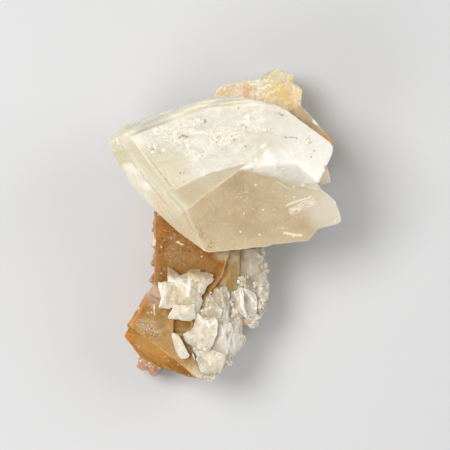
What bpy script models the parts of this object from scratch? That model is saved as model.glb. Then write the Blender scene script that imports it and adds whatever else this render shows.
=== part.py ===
"""Calcite with fluorite and dolomite, a small mineral specimen lying on its broken back.

A broad cream calcite crystal lies across a column of golden fluorite cubes. More fluorite stands above
and behind its right end, and curved, saddle-shaped dolomite crystals cover the column's lower front.

+X runs to the right across the specimen's face, +Y to its upper end and +Z up, away from the surface
that it rests on. The tables below are in millimetres from the middle of the face, with heights above the
resting plane, and MM turns them into metres. Outlines run clockwise, as seen from above.
"""

import math
import random
from collections import namedtuple

import bmesh
import bpy
from mathutils import Matrix, Vector

# Driving dimensions
MM = 0.001
CREST = 33.6  # height of the corner where the calcite's front facets meet
SEAT = 6.0  # height of the calcite's underside
COLUMN_HEIGHT = 17.6  # height of the fluorite column's front
CUBE_HEIGHT = 17.0  # height of the lower cube's front
GAP = 0.3  # space left between two minerals where one grew against the other
BLOCK = 200.0  # side of the raw block that a crystal is cut from
CUBE_TURNS = (-8.0, 3.0, -29.0)  # degrees about X, Y and Z, shared by the cubes that grew parallel
DRUSE_SEED = 7
DRUSE_ROWS = 9
DRUSE_START = (-16.1, -13.5)  # the lowest cube of the druse down the column's left side
DRUSE_PITCH = 2.1
ROOT_SIZE = 0.86  # size of a dolomite crystal's root, beside its face
FACE_RELIEF = 1.35  # how much the ridges of the dolomite's faces stand out
RIM_SEED = 5
COLLECTION = "calcite_with_fluorite_and_dolomite"

# Base colour and roughness of each mineral
FINISHES = {
    "calcite": ((0.84, 0.78, 0.66, 1.0), 0.35),
    "golden_fluorite": ((0.58, 0.34, 0.14, 1.0), 0.45),
    "cream_fluorite": ((0.80, 0.62, 0.42, 1.0), 0.45),
    "smoky_fluorite": ((0.48, 0.40, 0.28, 1.0), 0.25),
    "white_dolomite": ((0.86, 0.82, 0.74, 1.0), 0.55),
    "pink_dolomite": ((0.76, 0.58, 0.48, 1.0), 0.6),
}
NODE_FINISHES = {
    "calcite_crystal": "calcite",
    "fluorite_column": "golden_fluorite",
    "fluorite_upper_block": "cream_fluorite",
    "fluorite_smoky_cube": "smoky_fluorite",
    "dolomite_front_cluster": "white_dolomite",
    "dolomite_side_cluster": "white_dolomite",
    "dolomite_blade": "white_dolomite",
    "dolomite_foot": "pink_dolomite",
}

Facet = namedtuple("Facet", "place normal")
Crystal = namedtuple("Crystal", "front outline slopes extra")
Block = namedtuple("Block", "rim middle root")


def facet_by_rise(corner, rise_right, rise_up):
    """A front facet through a corner. It rises this much for each millimetre to the right and upwards."""
    return Facet(Vector(corner), Vector((-rise_right, -rise_up, 1.0)).normalized())


def wall(first, second, slope):
    """A facet below the edge between two corners. It falls away to the left of that edge, at this slope.

    A slope of 90 degrees is upright, and a steeper one is undercut.
    """
    place = Vector(first)
    edge = (Vector(second) - place).normalized()
    outward = Vector((-edge.y, edge.x, 0.0)).normalized()
    angle = math.radians(slope)
    normal = outward * math.sin(angle) + Vector((0.0, 0.0, 1.0)) * math.cos(angle)
    normal -= edge * normal.dot(edge)
    return Facet(place, normal.normalized())


def facet_through(first, second, third):
    """A front facet through three corners."""
    place = Vector(first)
    normal = (Vector(second) - place).cross(Vector(third) - place).normalized()
    return Facet(place, normal if normal.z > 0 else -normal)


def walls(corners, slope):
    """A wall below each stretch between one corner and the next."""
    return [wall(first, second, slope) for first, second in zip(corners, corners[1:])]


def on_facet(facet, *places):
    """The corners that a facet has at these places of the plan, each (x, y)."""
    corners = []
    for x, y in places:
        beside = Vector((x - facet.place.x, y - facet.place.y, 0.0))
        corners.append((x, y, facet.place.z - beside.dot(facet.normal) / facet.normal.z))
    return corners


def shifted(facet, distance):
    """The same facet, moved outwards."""
    return Facet(facet.place + facet.normal * distance, facet.normal)


def flipped(facet):
    """The same plane, facing the other way, for what lies above a facet."""
    return Facet(facet.place, -facet.normal)


# The calcite's front facets and rims
APEX = (6.6, 15.4, CREST)
BROAD = facet_by_rise(APEX, 0.20, -0.31)
FROSTED = facet_by_rise(APEX, 0.03, -0.27)
LOWER = facet_by_rise(APEX, -0.285, 0.34)
BAND = facet_through(*on_facet(LOWER, (3.7, 13.1), (15.2, 9.6)), *on_facet(FROSTED, (16.6, 14.6)))
BAND_END = wall(*on_facet(FROSTED, (21.9, 9.6), (16.6, 14.4)), 74.0)
STRIATED = wall(*on_facet(BROAD, (-23.8, 20.2), (-4.8, 27.4)), 72.0)
UPPER_RIM = wall(*on_facet(BROAD, (-4.8, 27.6), (4.0, 28.5)), 76.0)
RIGHT_RIM = wall(*on_facet(FROSTED, (4.0, 28.5), (12.6, 28.2)), 74.0)
LEFT = wall(*on_facet(BROAD, (-12.4, 6.7), (-21.2, 19.5)), 63.0)
BEVEL = wall(*on_facet(LOWER, (-5.3, -4.9)), *on_facet(BROAD, (-12.4, 6.7)), 65.0)
TIP = facet_through((-28.0, 19.8, 13.5), (-25.5, 24.4, 11.5), (-24.3, 20.3, 24.6))
LAST_STRIATED = shifted(STRIATED, 0.7)
LAST_UPPER = shifted(UPPER_RIM, 1.0)
LAST_RIGHT = shifted(RIGHT_RIM, 0.8)

# The calcite's sides, each below the rim of a facet
LEFT_SIDES = (
    walls(on_facet(BEVEL, (-4.2, -6.5), (-11.8, -1.0), (-20.5, 7.0)), 118.0)
    + walls(on_facet(LEFT, (-20.5, 7.0), (-25.0, 13.9), (-27.1, 17.8)), 112.0)
    + walls(((-27.1, 17.8, 13.2), (-28.0, 19.8, 13.0), (-26.7, 21.7, 12.0), (-25.5, 24.3, 11.5)), 110.0)
)
TOP_SIDES = (
    walls(on_facet(LAST_STRIATED, (-25.5, 24.3), (-18.1, 26.9), (-10.9, 29.1)), 118.0)
    + walls(on_facet(LAST_UPPER, (-10.9, 29.1), (-2.1, 30.4), (3.6, 30.6)), 118.0)
    + walls(on_facet(LAST_RIGHT, (3.6, 30.6), (11.7, 28.7)), 116.0)
)
RIGHT_SIDES = walls(
    on_facet(FROSTED, (11.7, 28.9), (12.9, 28.2), (24.4, 19.5), (25.3, 18.3), (25.1, 16.9), (22.0, 9.6)),
    109.0,
)
LOBE_TOP = shifted(LOWER, -0.04)
LOBE_SIDES = (
    walls(on_facet(LOWER, (13.0, 17.4), (22.7, 9.1)), 96.0)
    + walls(on_facet(LOWER, (22.7, 9.1), (21.9, -1.0), (21.4, -1.9)), 104.0)
    + walls(on_facet(LOWER, (21.4, -1.9), (19.8, -3.7), (17.1, -4.3)), 116.0)
)
BOTTOM_SIDE = wall(*on_facet(LOWER, (17.1, -4.3), (-4.2, -6.5)), 118.0)
SPUR_TOP = facet_by_rise((6.6, 15.4, CREST - 0.10), -0.287, 0.338)
SPUR_SIDES = walls(
    on_facet(LOWER, (13.0, 16.8), (26.2, 5.9), (27.7, 1.9), (27.6, 0.8), (26.8, 0.2), (12.0, -3.35)),
    112.0,
)
UNDERSIDE = Facet(Vector((0.0, 0.0, SEAT)), Vector((0.05, -0.06, -1.0)).normalized())
CALCITE_HEART = (2.0, 14.0, 20.0)
LOBE_HEART = (16.0, 5.0, 20.0)
SPUR_HEART = (19.0, 3.0, 22.0)

# Growth layers along the calcite's upper edge: the rim that steps out, how far, and the face above and drop
LEDGES = (
    (STRIATED, 0.0, BROAD, 1.4),
    (UPPER_RIM, 0.0, BROAD, 0.9),
    (UPPER_RIM, 0.5, BROAD, 2.5),
    (RIGHT_RIM, 0.0, FROSTED, 1.2),
    (RIGHT_RIM, 0.4, FROSTED, 3.1),
)

# Broken corners at the calcite's right end: middle, size, and turns about X, Y and Z
BREAKS = (
    ((26.3, 15.4, 30.0), (4.0, 1.9, 24.0), (8, 4, 30)),
    ((26.5, 20.6, 29.0), (2.6, 3.0, 20.0), (-8, 8, 35)),
    ((25.4, 13.0, 31.0), (3.4, 1.5, 20.0), (-8, -6, 12)),
    ((25.2, 11.4, 36.4), (4.4, 6.6, 2.2), (10, 26, -14)),
)


# The fluorite's crystals. Their fronts are given by a corner and two rises, and their sides by slopes
BACK = Facet(Vector((0.0, 0.0, 0.0)), Vector((0.0, 0.0, -1.0)))
COLUMN = Crystal(
    facet_by_rise((-17.0, -8.0, COLUMN_HEIGHT), 0.08, 0.02),
    (
        (-17.0, -17.0),
        (-16.8, 9.0),
        (6.0, 11.0),
        (0.5, -8.4),
        (-0.2, -11.8),
        (-3.0, -15.3),
        (-7.0, -20.0),
        (-17.0, -17.0),
    ),
    (93.0, 100.0, 100.0, 78.0, 78.0, 80.0, 90.0),
    (),
)
CUBE_FRONT = facet_by_rise((-22.6, -24.0, CUBE_HEIGHT), -0.03, -0.10)
CUBE_FOOT = wall(*on_facet(CUBE_FRONT, (-6.5, -36.3), (-22.6, -24.0)), 57.0)
CUBE_RIM = on_facet(CUBE_FOOT, (-3.0, -37.2), (-9.3, -36.2), (-15.2, -34.4), (-20.4, -32.0), (-24.4, -26.7))
LOWER_CUBE = Crystal(
    CUBE_FRONT,
    ((-24.4, -26.7), (-17.3, -14.6), (-6.0, -9.0), (3.0, -18.0), (-2.6, -38.0)),
    (91.0, 90.0, 90.0, 97.0),
    [CUBE_FOOT] + walls(CUBE_RIM, 104.0),
)
PALE_CUBE = Crystal(
    facet_by_rise((1.8, -11.0, 16.8), -0.25, 0.03),
    ((-3.0, -14.5), (-3.0, 4.0), (3.9, 4.0), (3.7, -10.0), (3.1, -15.4), (1.2, -15.8), (-3.0, -14.5)),
    (90.0, 90.0, 92.0, 92.0, 90.0, 90.0),
    (),
)
COLUMN_STEPS = (
    ((-16.9, -12.9, 14.2), (2.2, 2.2, 4.4)),
    ((-16.1, -8.6, 13.0), (2.6, 3.0, 6.5)),
    ((-15.9, -4.3, 12.6), (2.4, 2.4, 7.4)),
    ((-15.8, 0.9, 11.0), (2.6, 2.8, 7.0)),
    ((-21.3, -22.9, 12.3), (2.6, 4.4, 7.0)),
    ((-18.6, -18.3, 11.0), (2.4, 3.6, 8.0)),
    ((-16.0, -16.0, 14.2), (3.0, 3.0, 4.6)),
)
CUBE_HOLLOW = ((-10.3, -24.2, 16.8), (3.9, 3.1, 2.8), (4, -3, -3))  # the dent of a cube that came away
BLOCK_LEFT = Crystal(
    facet_by_rise((2.0, 31.0, 11.8), 0.09, 0.02),
    (
        (-2.6, 29.0),
        (-2.6, 31.4),
        (-2.0, 32.9),
        (-0.6, 33.8),
        (3.6, 34.6),
        (8.8, 35.7),
        (12.0, 35.4),
        (15.0, 24.0),
        (-1.0, 23.0),
        (-2.6, 29.0),
    ),
    (94.0, 88.0, 84.0, 90.0, 92.0, 95.0, 90.0, 90.0, 95.0),
    (),
)
BLOCK_CORNER = Crystal(
    facet_by_rise((13.0, 35.0, 13.0), 0.05, -0.06),
    (
        (7.5, 33.2),
        (9.6, 35.5),
        (12.1, 37.7),
        (12.9, 37.8),
        (16.7, 36.1),
        (16.2, 33.8),
        (14.0, 24.0),
        (7.0, 27.0),
        (7.5, 33.2),
    ),
    (86.0, 84.0, 88.0, 92.0, 88.0, 90.0, 95.0, 90.0),
    (),
)
BLOCK_RIGHT = Crystal(
    facet_by_rise((14.0, 30.0, 13.9), -0.03, 0.05),
    (
        (9.5, 31.6),
        (15.2, 35.0),
        (18.6, 32.6),
        (18.8, 30.8),
        (18.2, 28.4),
        (17.0, 20.0),
        (8.0, 22.0),
        (9.5, 31.6),
    ),
    (86.0, 88.0, 88.0, 88.0, 95.0, 95.0, 90.0),
    (),
)
SMOKY_CUBE = Crystal(
    facet_by_rise((22.0, 24.0, 17.4), -0.16, -0.08),
    (
        (14.0, 27.0),
        (18.2, 29.0),
        (19.9, 27.0),
        (22.9, 24.3),
        (24.8, 22.4),
        (25.7, 20.1),
        (25.5, 18.0),
        (24.6, 15.6),
        (22.0, 10.5),
        (14.0, 12.0),
        (14.0, 27.0),
    ),
    (92.0, 90.0, 86.0, 88.0, 86.0, 90.0, 93.0, 95.0, 95.0, 90.0),
    (),
)
SMOKY_TIP = Crystal(
    facet_by_rise((24.0, 12.0, 17.0), -0.10, 0.12),
    (
        (17.0, 16.0),
        (24.2, 16.6),
        (24.9, 13.0),
        (25.7, 10.9),
        (25.3, 10.2),
        (22.0, 9.4),
        (16.0, 10.0),
        (17.0, 16.0),
    ),
    (90.0, 94.0, 92.0, 92.0, 92.0, 95.0, 95.0),
    (),
)

# The dolomite crystals, as seen from the front: the corners of each face with their heights, the place and
# height of its middle, and the height of its root. The beds are the granular dolomite between the crystals
FRONT_BLOCKS = (
    Block(
        (
            (-13.6, -9.9, 20.2),
            (-12.8, -10.1, 19.9),
            (-11.4, -11.2, 19.7),
            (-10.2, -12.2, 20.0),
            (-11.6, -14.0, 20.9),
            (-13.7, -14.0, 20.6),
        ),
        (-12.9, -12.2, 20.9),
        16.5,
    ),
    Block(
        (
            (-16.0, -13.4, 20.2),
            (-15.2, -13.7, 20.5),
            (-14.2, -13.2, 21.0),
            (-12.2, -13.8, 20.6),
            (-12.0, -14.6, 20.4),
            (-12.4, -17.6, 20.2),
            (-12.7, -19.5, 20.0),
            (-13.2, -19.9, 20.1),
            (-15.8, -19.6, 20.9),
            (-15.0, -17.0, 21.0),
            (-15.4, -15.4, 20.9),
            (-15.9, -14.4, 20.5),
        ),
        (-14.3, -16.4, 21.7),
        16.6,
    ),
    Block(
        (
            (-12.9, -13.2, 21.0),
            (-10.5, -12.0, 20.8),
            (-9.0, -12.4, 21.0),
            (-8.6, -14.0, 21.6),
            (-10.4, -14.8, 21.9),
            (-12.0, -14.6, 21.4),
        ),
        (-10.7, -13.6, 22.0),
        17.0,
    ),
    Block(
        (
            (-9.0, -10.9, 20.9),
            (-8.4, -10.5, 20.8),
            (-5.9, -10.4, 20.9),
            (-5.7, -11.2, 21.2),
            (-5.6, -13.4, 21.6),
            (-8.8, -13.6, 21.7),
        ),
        (-7.4, -12.0, 22.0),
        17.1,
    ),
    Block(
        (
            (-6.2, -11.1, 21.0),
            (-4.0, -11.2, 20.5),
            (-3.2, -11.5, 20.3),
            (-2.6, -11.9, 20.0),
            (-2.8, -12.4, 20.0),
            (-2.4, -12.9, 19.9),
            (-3.4, -13.8, 20.0),
            (-4.6, -14.8, 20.3),
            (-5.0, -16.3, 20.2),
            (-6.2, -16.2, 20.9),
        ),
        (-5.2, -13.2, 21.0),
        17.2,
    ),
    Block(
        (
            (-9.4, -12.8, 21.5),
            (-7.0, -12.9, 21.5),
            (-5.8, -14.2, 21.0),
            (-5.9, -16.4, 20.8),
            (-6.6, -19.8, 20.5),
            (-12.1, -19.5, 20.5),
            (-11.0, -15.6, 21.2),
            (-11.5, -14.4, 21.2),
        ),
        (-8.7, -16.2, 22.3),
        17.3,
    ),
    Block(
        (
            (-12.2, -19.0, 21.0),
            (-7.2, -18.8, 21.2),
            (-7.0, -20.5, 20.6),
            (-7.1, -22.2, 19.9),
            (-8.2, -22.9, 19.6),
            (-9.8, -22.6, 19.9),
            (-13.5, -22.3, 19.7),
            (-13.7, -21.9, 19.7),
            (-12.7, -20.3, 20.3),
        ),
        (-9.9, -20.8, 20.9),
        16.1,
    ),
    Block(
        (
            (-6.4, -15.9, 20.4),
            (-5.6, -17.0, 20.0),
            (-5.3, -18.0, 19.6),
            (-5.7, -19.2, 19.6),
            (-6.4, -20.7, 19.5),
            (-7.4, -20.4, 20.0),
            (-7.6, -16.4, 20.6),
        ),
        (-6.4, -18.4, 20.3),
        15.6,
    ),
)
FRONT_BEDS = (
    Block(
        (
            (-13.2, -10.8, 19.5),
            (-11.0, -12.0, 19.7),
            (-8.8, -11.2, 20.2),
            (-6.0, -11.0, 20.4),
            (-3.6, -12.0, 19.4),
            (-4.6, -14.6, 19.5),
            (-5.8, -17.0, 19.6),
            (-6.2, -20.0, 19.2),
            (-7.6, -22.0, 18.9),
            (-12.6, -21.8, 18.9),
            (-12.4, -19.6, 19.8),
            (-15.0, -19.2, 19.9),
            (-14.8, -14.4, 20.0),
            (-13.6, -13.6, 19.9),
        ),
        (-9.4, -15.6, 20.9),
        16.4,
    ),
)
MIDDLE_BLOCKS = (
    Block(
        (
            (-3.9, -15.7, 18.4),
            (-3.3, -16.6, 18.9),
            (-2.2, -18.3, 19.6),
            (-0.6, -20.3, 19.8),
            (-0.9, -22.0, 19.4),
            (-3.0, -22.3, 19.2),
            (-4.6, -22.2, 19.0),
            (-6.5, -20.8, 18.6),
            (-5.3, -19.6, 18.3),
            (-5.5, -18.7, 18.0),
            (-5.0, -17.0, 18.0),
        ),
        (-3.4, -19.4, 19.9),
        13.0,
    ),
    Block(
        (
            (-1.5, -13.8, 17.9),
            (-0.9, -13.2, 17.8),
            (0.3, -13.2, 17.6),
            (0.7, -14.8, 17.9),
            (1.1, -16.6, 18.0),
            (0.8, -18.2, 17.9),
            (0.9, -20.0, 18.3),
            (1.0, -22.9, 18.5),
            (-0.9, -23.2, 18.8),
            (-2.4, -22.2, 18.4),
            (-4.0, -18.0, 17.8),
            (-3.0, -15.8, 17.8),
            (-2.4, -15.0, 17.9),
        ),
        (-0.5, -17.4, 19.3),
        11.5,
    ),
    Block(
        (
            (-7.2, -20.6, 18.9),
            (-6.2, -21.1, 19.2),
            (-4.4, -22.7, 19.9),
            (-4.3, -24.2, 20.0),
            (-4.8, -27.0, 19.6),
            (-5.6, -29.0, 19.2),
            (-7.0, -28.6, 18.8),
            (-7.3, -25.8, 18.6),
            (-7.8, -24.6, 18.4),
            (-7.0, -23.0, 18.6),
        ),
        (-5.8, -24.6, 19.7),
        14.2,
    ),
    Block(
        (
            (-4.9, -22.9, 20.0),
            (-2.6, -22.0, 20.8),
            (-2.1, -22.2, 21.0),
            (-1.7, -23.2, 21.3),
            (-1.9, -25.8, 21.4),
            (-2.7, -28.2, 21.0),
            (-3.5, -29.8, 20.5),
            (-5.2, -29.9, 20.2),
            (-6.6, -29.0, 19.9),
            (-5.9, -26.4, 19.7),
            (-5.2, -24.4, 19.8),
        ),
        (-3.6, -25.8, 20.9),
        14.4,
    ),
    Block(
        (
            (-9.9, -26.0, 17.9),
            (-7.8, -24.9, 18.2),
            (-6.2, -25.4, 18.7),
            (-6.4, -28.6, 18.6),
            (-8.4, -28.5, 18.1),
            (-9.9, -27.7, 17.7),
        ),
        (-8.0, -26.8, 18.7),
        15.2,
    ),
    Block(
        ((-7.9, -30.3, 18.2), (-7.4, -30.9, 18.4), (-6.9, -32.4, 18.1), (-7.6, -32.0, 17.9)),
        (-7.4, -31.4, 18.5),
        15.3,
    ),
    Block(
        (
            (-1.6, -22.8, 18.6),
            (0.4, -22.8, 18.5),
            (1.7, -23.5, 18.3),
            (2.0, -25.2, 18.2),
            (1.4, -26.9, 18.3),
            (0.2, -26.2, 18.6),
            (-1.2, -24.4, 18.7),
        ),
        (0.4, -24.4, 18.9),
        12.6,
    ),
    Block(
        (
            (-1.8, -23.4, 19.2),
            (-0.5, -24.1, 19.4),
            (0.3, -24.8, 19.4),
            (0.5, -27.0, 19.3),
            (0.7, -30.2, 18.9),
            (0.1, -31.5, 18.6),
            (-2.6, -30.2, 19.2),
            (-3.4, -29.4, 19.4),
            (-2.6, -27.4, 19.6),
        ),
        (-1.2, -27.2, 19.9),
        12.8,
    ),
    Block(
        (
            (3.7, -14.8, 17.3),
            (5.0, -15.2, 17.2),
            (7.2, -16.2, 16.7),
            (7.8, -18.4, 16.2),
            (7.6, -20.6, 16.0),
            (6.8, -21.6, 16.2),
            (5.2, -22.3, 16.8),
            (4.0, -20.5, 17.3),
        ),
        (6.0, -18.8, 16.2),
        10.4,
    ),
    Block(
        (
            (2.2, -16.2, 17.2),
            (3.9, -14.9, 17.6),
            (4.5, -16.5, 18.2),
            (4.6, -19.0, 18.3),
            (5.4, -22.0, 17.6),
            (4.2, -21.9, 17.3),
            (3.1, -21.3, 17.2),
            (2.5, -20.2, 17.1),
            (2.6, -17.8, 17.1),
        ),
        (3.7, -18.8, 18.5),
        10.6,
    ),
    Block(
        ((5.2, -13.5, 14.9), (6.6, -13.2, 14.9), (6.9, -13.9, 14.8), (5.4, -14.3, 14.8)),
        (6.0, -13.7, 15.1),
        10.8,
    ),
)
RIM_BLOCKS = (
    Block(
        (
            (2.6, -5.6, 15.6),
            (9.2, -5.4, 15.4),
            (9.5, -7.4, 15.0),
            (9.2, -8.4, 15.0),
            (8.1, -9.4, 15.3),
            (8.1, -11.6, 15.3),
            (6.4, -12.8, 15.3),
            (4.2, -13.0, 15.6),
            (2.9, -12.4, 15.9),
            (2.7, -8.0, 15.8),
        ),
        (5.6, -9.0, 16.2),
        5.0,
    ),
    Block(
        ((7.6, -8.2, 14.2), (9.6, -8.2, 13.9), (10.0, -9.6, 13.7), (9.8, -12.0, 13.7), (7.6, -12.0, 14.2)),
        (8.9, -10.0, 14.4),
        6.4,
    ),
    Block(
        (
            (6.2, -13.0, 15.0),
            (8.0, -11.5, 15.0),
            (9.8, -11.5, 14.4),
            (10.3, -13.4, 14.4),
            (10.7, -15.0, 14.2),
            (10.5, -17.0, 14.2),
            (9.8, -18.6, 14.4),
            (9.0, -19.4, 14.4),
            (6.6, -19.0, 15.2),
            (6.6, -16.0, 14.9),
        ),
        (8.9, -15.2, 16.0),
        5.6,
    ),
    Block(
        (
            (8.0, -17.8, 15.4),
            (9.9, -18.7, 14.6),
            (10.2, -19.5, 13.9),
            (9.9, -20.6, 13.8),
            (8.9, -21.2, 13.9),
            (7.9, -21.7, 14.3),
            (6.6, -20.4, 15.0),
        ),
        (8.7, -19.7, 15.6),
        4.8,
    ),
    Block(
        (
            (4.0, -21.6, 15.4),
            (7.0, -21.2, 15.6),
            (8.3, -21.6, 15.0),
            (8.7, -22.3, 14.7),
            (8.2, -23.1, 14.5),
            (8.0, -23.9, 14.2),
            (7.4, -24.4, 14.1),
            (5.6, -24.1, 14.5),
            (4.3, -23.9, 14.8),
            (3.8, -22.6, 15.2),
        ),
        (6.0, -22.9, 15.6),
        6.0,
    ),
    Block(
        (
            (0.6, -16.2, 16.2),
            (2.6, -16.2, 16.4),
            (3.2, -21.0, 16.2),
            (4.6, -22.2, 15.8),
            (4.2, -24.0, 15.0),
            (2.0, -24.0, 15.8),
            (0.6, -23.2, 16.6),
        ),
        (1.8, -20.0, 16.6),
        7.0,
    ),
    Block(
        (
            (1.7, -23.8, 17.2),
            (3.3, -23.8, 16.4),
            (4.3, -24.1, 15.8),
            (4.1, -24.9, 15.8),
            (3.7, -25.6, 16.2),
            (4.6, -26.6, 15.6),
            (4.7, -27.4, 15.4),
            (4.5, -28.6, 15.4),
            (4.1, -29.3, 15.4),
            (3.2, -30.3, 15.8),
            (2.4, -31.0, 16.2),
            (0.9, -31.5, 16.8),
            (1.3, -28.0, 17.6),
            (1.2, -25.4, 17.6),
        ),
        (2.3, -27.2, 17.6),
        6.2,
    ),
    Block(
        (
            (0.2, -26.0, 18.2),
            (1.3, -26.8, 18.3),
            (1.7, -30.2, 17.8),
            (0.8, -31.4, 17.6),
            (-0.2, -31.0, 18.0),
        ),
        (0.8, -28.8, 18.6),
        9.5,
    ),
    Block(
        (
            (-0.4, -31.0, 17.4),
            (1.0, -31.6, 16.9),
            (1.6, -32.7, 16.5),
            (1.6, -33.5, 16.4),
            (0.3, -33.7, 16.8),
            (-0.8, -34.4, 17.2),
        ),
        (0.4, -32.6, 17.4),
        8.0,
    ),
    Block(
        (
            (-6.2, -29.9, 19.4),
            (-3.4, -29.6, 19.6),
            (-1.0, -30.5, 19.4),
            (0.3, -31.3, 19.0),
            (-0.5, -34.1, 18.5),
            (-1.9, -36.1, 18.2),
            (-2.7, -36.8, 17.9),
            (-3.0, -37.5, 17.5),
            (-3.8, -37.5, 17.5),
            (-5.0, -37.0, 17.8),
            (-6.6, -36.2, 18.0),
            (-7.7, -34.6, 17.8),
            (-7.5, -32.6, 18.1),
            (-6.6, -31.6, 18.6),
        ),
        (-3.4, -33.0, 19.9),
        7.4,
    ),
)
SIDE_BEDS = (
    Block(
        (
            (-3.6, -16.6, 17.5),
            (-1.0, -14.2, 17.0),
            (0.6, -14.4, 16.8),
            (0.9, -17.0, 17.0),
            (0.9, -22.9, 17.9),
            (1.7, -24.0, 17.7),
            (1.5, -27.0, 17.7),
            (1.4, -30.6, 17.3),
            (1.2, -33.2, 16.2),
            (-1.8, -35.6, 17.2),
            (-4.6, -36.6, 17.0),
            (-7.2, -34.4, 17.2),
            (-6.6, -31.4, 18.0),
            (-9.4, -27.6, 17.3),
            (-9.2, -26.2, 17.3),
            (-7.6, -24.4, 17.9),
            (-6.6, -21.2, 18.1),
            (-4.8, -19.2, 17.5),
        ),
        (-2.6, -24.4, 19.3),
        0.4,
    ),
    Block(
        (
            (1.0, -15.9, 16.0),
            (3.4, -14.6, 16.2),
            (4.6, -13.2, 15.2),
            (5.0, -6.6, 15.4),
            (8.2, -6.6, 14.8),
            (8.4, -11.2, 14.6),
            (9.7, -12.4, 13.9),
            (10.2, -15.0, 13.7),
            (10.0, -17.6, 13.8),
            (9.5, -20.6, 13.5),
            (8.4, -22.2, 14.1),
            (7.6, -23.9, 13.9),
            (4.5, -23.6, 14.7),
            (4.1, -25.4, 15.3),
            (3.5, -28.4, 15.1),
            (2.6, -30.4, 15.8),
            (0.9, -30.8, 16.8),
            (0.8, -23.2, 17.4),
            (0.8, -19.0, 16.8),
        ),
        (4.7, -18.8, 16.6),
        0.4,
    ),
)
BLADE_BLOCKS = (
    Block(
        (
            (-12.8, -25.8, 18.2),
            (-12.3, -25.4, 18.4),
            (-10.9, -26.3, 19.0),
            (-9.8, -28.4, 19.3),
            (-8.4, -31.0, 19.0),
            (-8.8, -31.6, 18.6),
            (-10.8, -32.0, 18.2),
            (-11.5, -30.8, 18.3),
            (-12.4, -28.3, 18.3),
        ),
        (-10.7, -28.9, 19.5),
        15.8,
    ),
)
FOOT_BLOCKS = (
    Block(
        (
            (-20.6, -31.2, 9.4),
            (-18.4, -31.4, 9.8),
            (-17.6, -34.0, 9.0),
            (-18.8, -35.3, 8.2),
            (-20.4, -35.2, 7.8),
            (-21.8, -34.5, 7.6),
            (-21.3, -33.4, 8.2),
        ),
        (-19.6, -33.4, 9.4),
        3.0,
    ),
    Block(
        (
            (-19.2, -32.2, 9.2),
            (-15.6, -33.4, 9.2),
            (-15.4, -35.1, 8.5),
            (-16.3, -36.0, 8.0),
            (-17.5, -36.4, 7.8),
            (-18.7, -36.0, 7.8),
            (-19.4, -34.4, 8.4),
        ),
        (-17.3, -34.4, 9.6),
        2.4,
    ),
)
FOOT_BEDS = (
    Block(
        ((-20.4, -30.9, 6.0), (-17.2, -31.6, 6.4), (-16.4, -34.8, 6.2), (-19.0, -35.2, 5.6), (-21.0, -33.6, 5.6)),
        (-18.6, -33.2, 6.8),
        0.0,
    ),
)


def metres(place):
    """A place in millimetres, in metres."""
    return Vector(place) * MM


def start_scene():
    """Clears what Blender starts with, and makes the collection for the part."""
    for obj in list(bpy.data.objects):
        bpy.data.objects.remove(obj, do_unlink=True)
    collection = bpy.data.collections.new(COLLECTION)
    bpy.context.scene.collection.children.link(collection)


def new_object(name, solid):
    """An object that holds this bmesh."""
    bmesh.ops.recalc_face_normals(solid, faces=solid.faces)
    mesh = bpy.data.meshes.new(name)
    solid.to_mesh(mesh)
    solid.free()
    obj = bpy.data.objects.new(name, mesh)
    bpy.data.collections[COLLECTION].objects.link(obj)
    return obj


def combine(body, other, operation):
    """Applies a Boolean of other to body, and removes other."""
    modifier = body.modifiers.new(operation.lower(), "BOOLEAN")
    modifier.operation = operation
    modifier.object = other
    graph = bpy.context.evaluated_depsgraph_get()
    result = bpy.data.meshes.new_from_object(body.evaluated_get(graph))
    body.modifiers.clear()
    body.data = result
    bpy.data.objects.remove(other, do_unlink=True)
    return body


def fuse(name, solids):
    """One solid from several that overlap."""
    body = solids[0]
    for other in solids[1:]:
        combine(body, other, "UNION")
    body.name = name
    return body


def carve(body, cutters):
    """Takes each cutter out of the body."""
    for cutter in cutters:
        combine(body, cutter, "DIFFERENCE")
    return body


def shells(solid):
    """The separate closed surfaces of a bmesh, each as a list of its vertices."""
    unseen = set(solid.verts)
    groups = []
    while unseen:
        start = unseen.pop()
        group = [start]
        for vert in group:
            for edge in vert.link_edges:
                neighbour = edge.other_vert(vert)
                if neighbour in unseen:
                    unseen.remove(neighbour)
                    group.append(neighbour)
        groups.append(group)
    return groups


def fill_hollows(body):
    """Fills the small hollows that crystals enclose between them, which leaves only the outer surface."""
    solid = bmesh.new()
    solid.from_mesh(body.data)
    for group in sorted(shells(solid), key=len)[:-1]:
        bmesh.ops.delete(solid, geom=group, context="VERTS")
    solid.to_mesh(body.data)
    solid.free()
    return body


def cut_crystal(name, heart, facets, grown=0.0):
    """A crystal cut from a block by its flat facets. It can be grown, to cut a seat with space around it."""
    block = bmesh.new()
    bmesh.ops.create_cube(block, size=BLOCK * MM, matrix=Matrix.Translation(metres(heart)))
    for facet in facets:
        cut = bmesh.ops.bisect_plane(
            block,
            geom=block.verts[:] + block.edges[:] + block.faces[:],
            dist=0.000001,
            plane_co=metres(shifted(facet, grown).place),
            plane_no=facet.normal,
            clear_outer=True,
        )
        rim = [item for item in cut["geom_cut"] if isinstance(item, bmesh.types.BMEdge)]
        bmesh.ops.holes_fill(block, edges=rim)
    return new_object(name, block)


def turned_box(name, middle, size, turns, grown=0.0):
    """A box with its middle, its size and its turns about X, Y and Z in degrees."""
    box = bmesh.new()
    turn = Matrix.Rotation(math.radians(turns[2]), 4, "Z")
    turn = turn @ Matrix.Rotation(math.radians(turns[1]), 4, "Y")
    turn = turn @ Matrix.Rotation(math.radians(turns[0]), 4, "X")
    scale = Matrix.Diagonal([(side + 2.0 * grown) * MM for side in size] + [1.0])
    bmesh.ops.create_cube(box, size=1.0, matrix=Matrix.Translation(metres(middle)) @ turn @ scale)
    return new_object(name, box)


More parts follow.
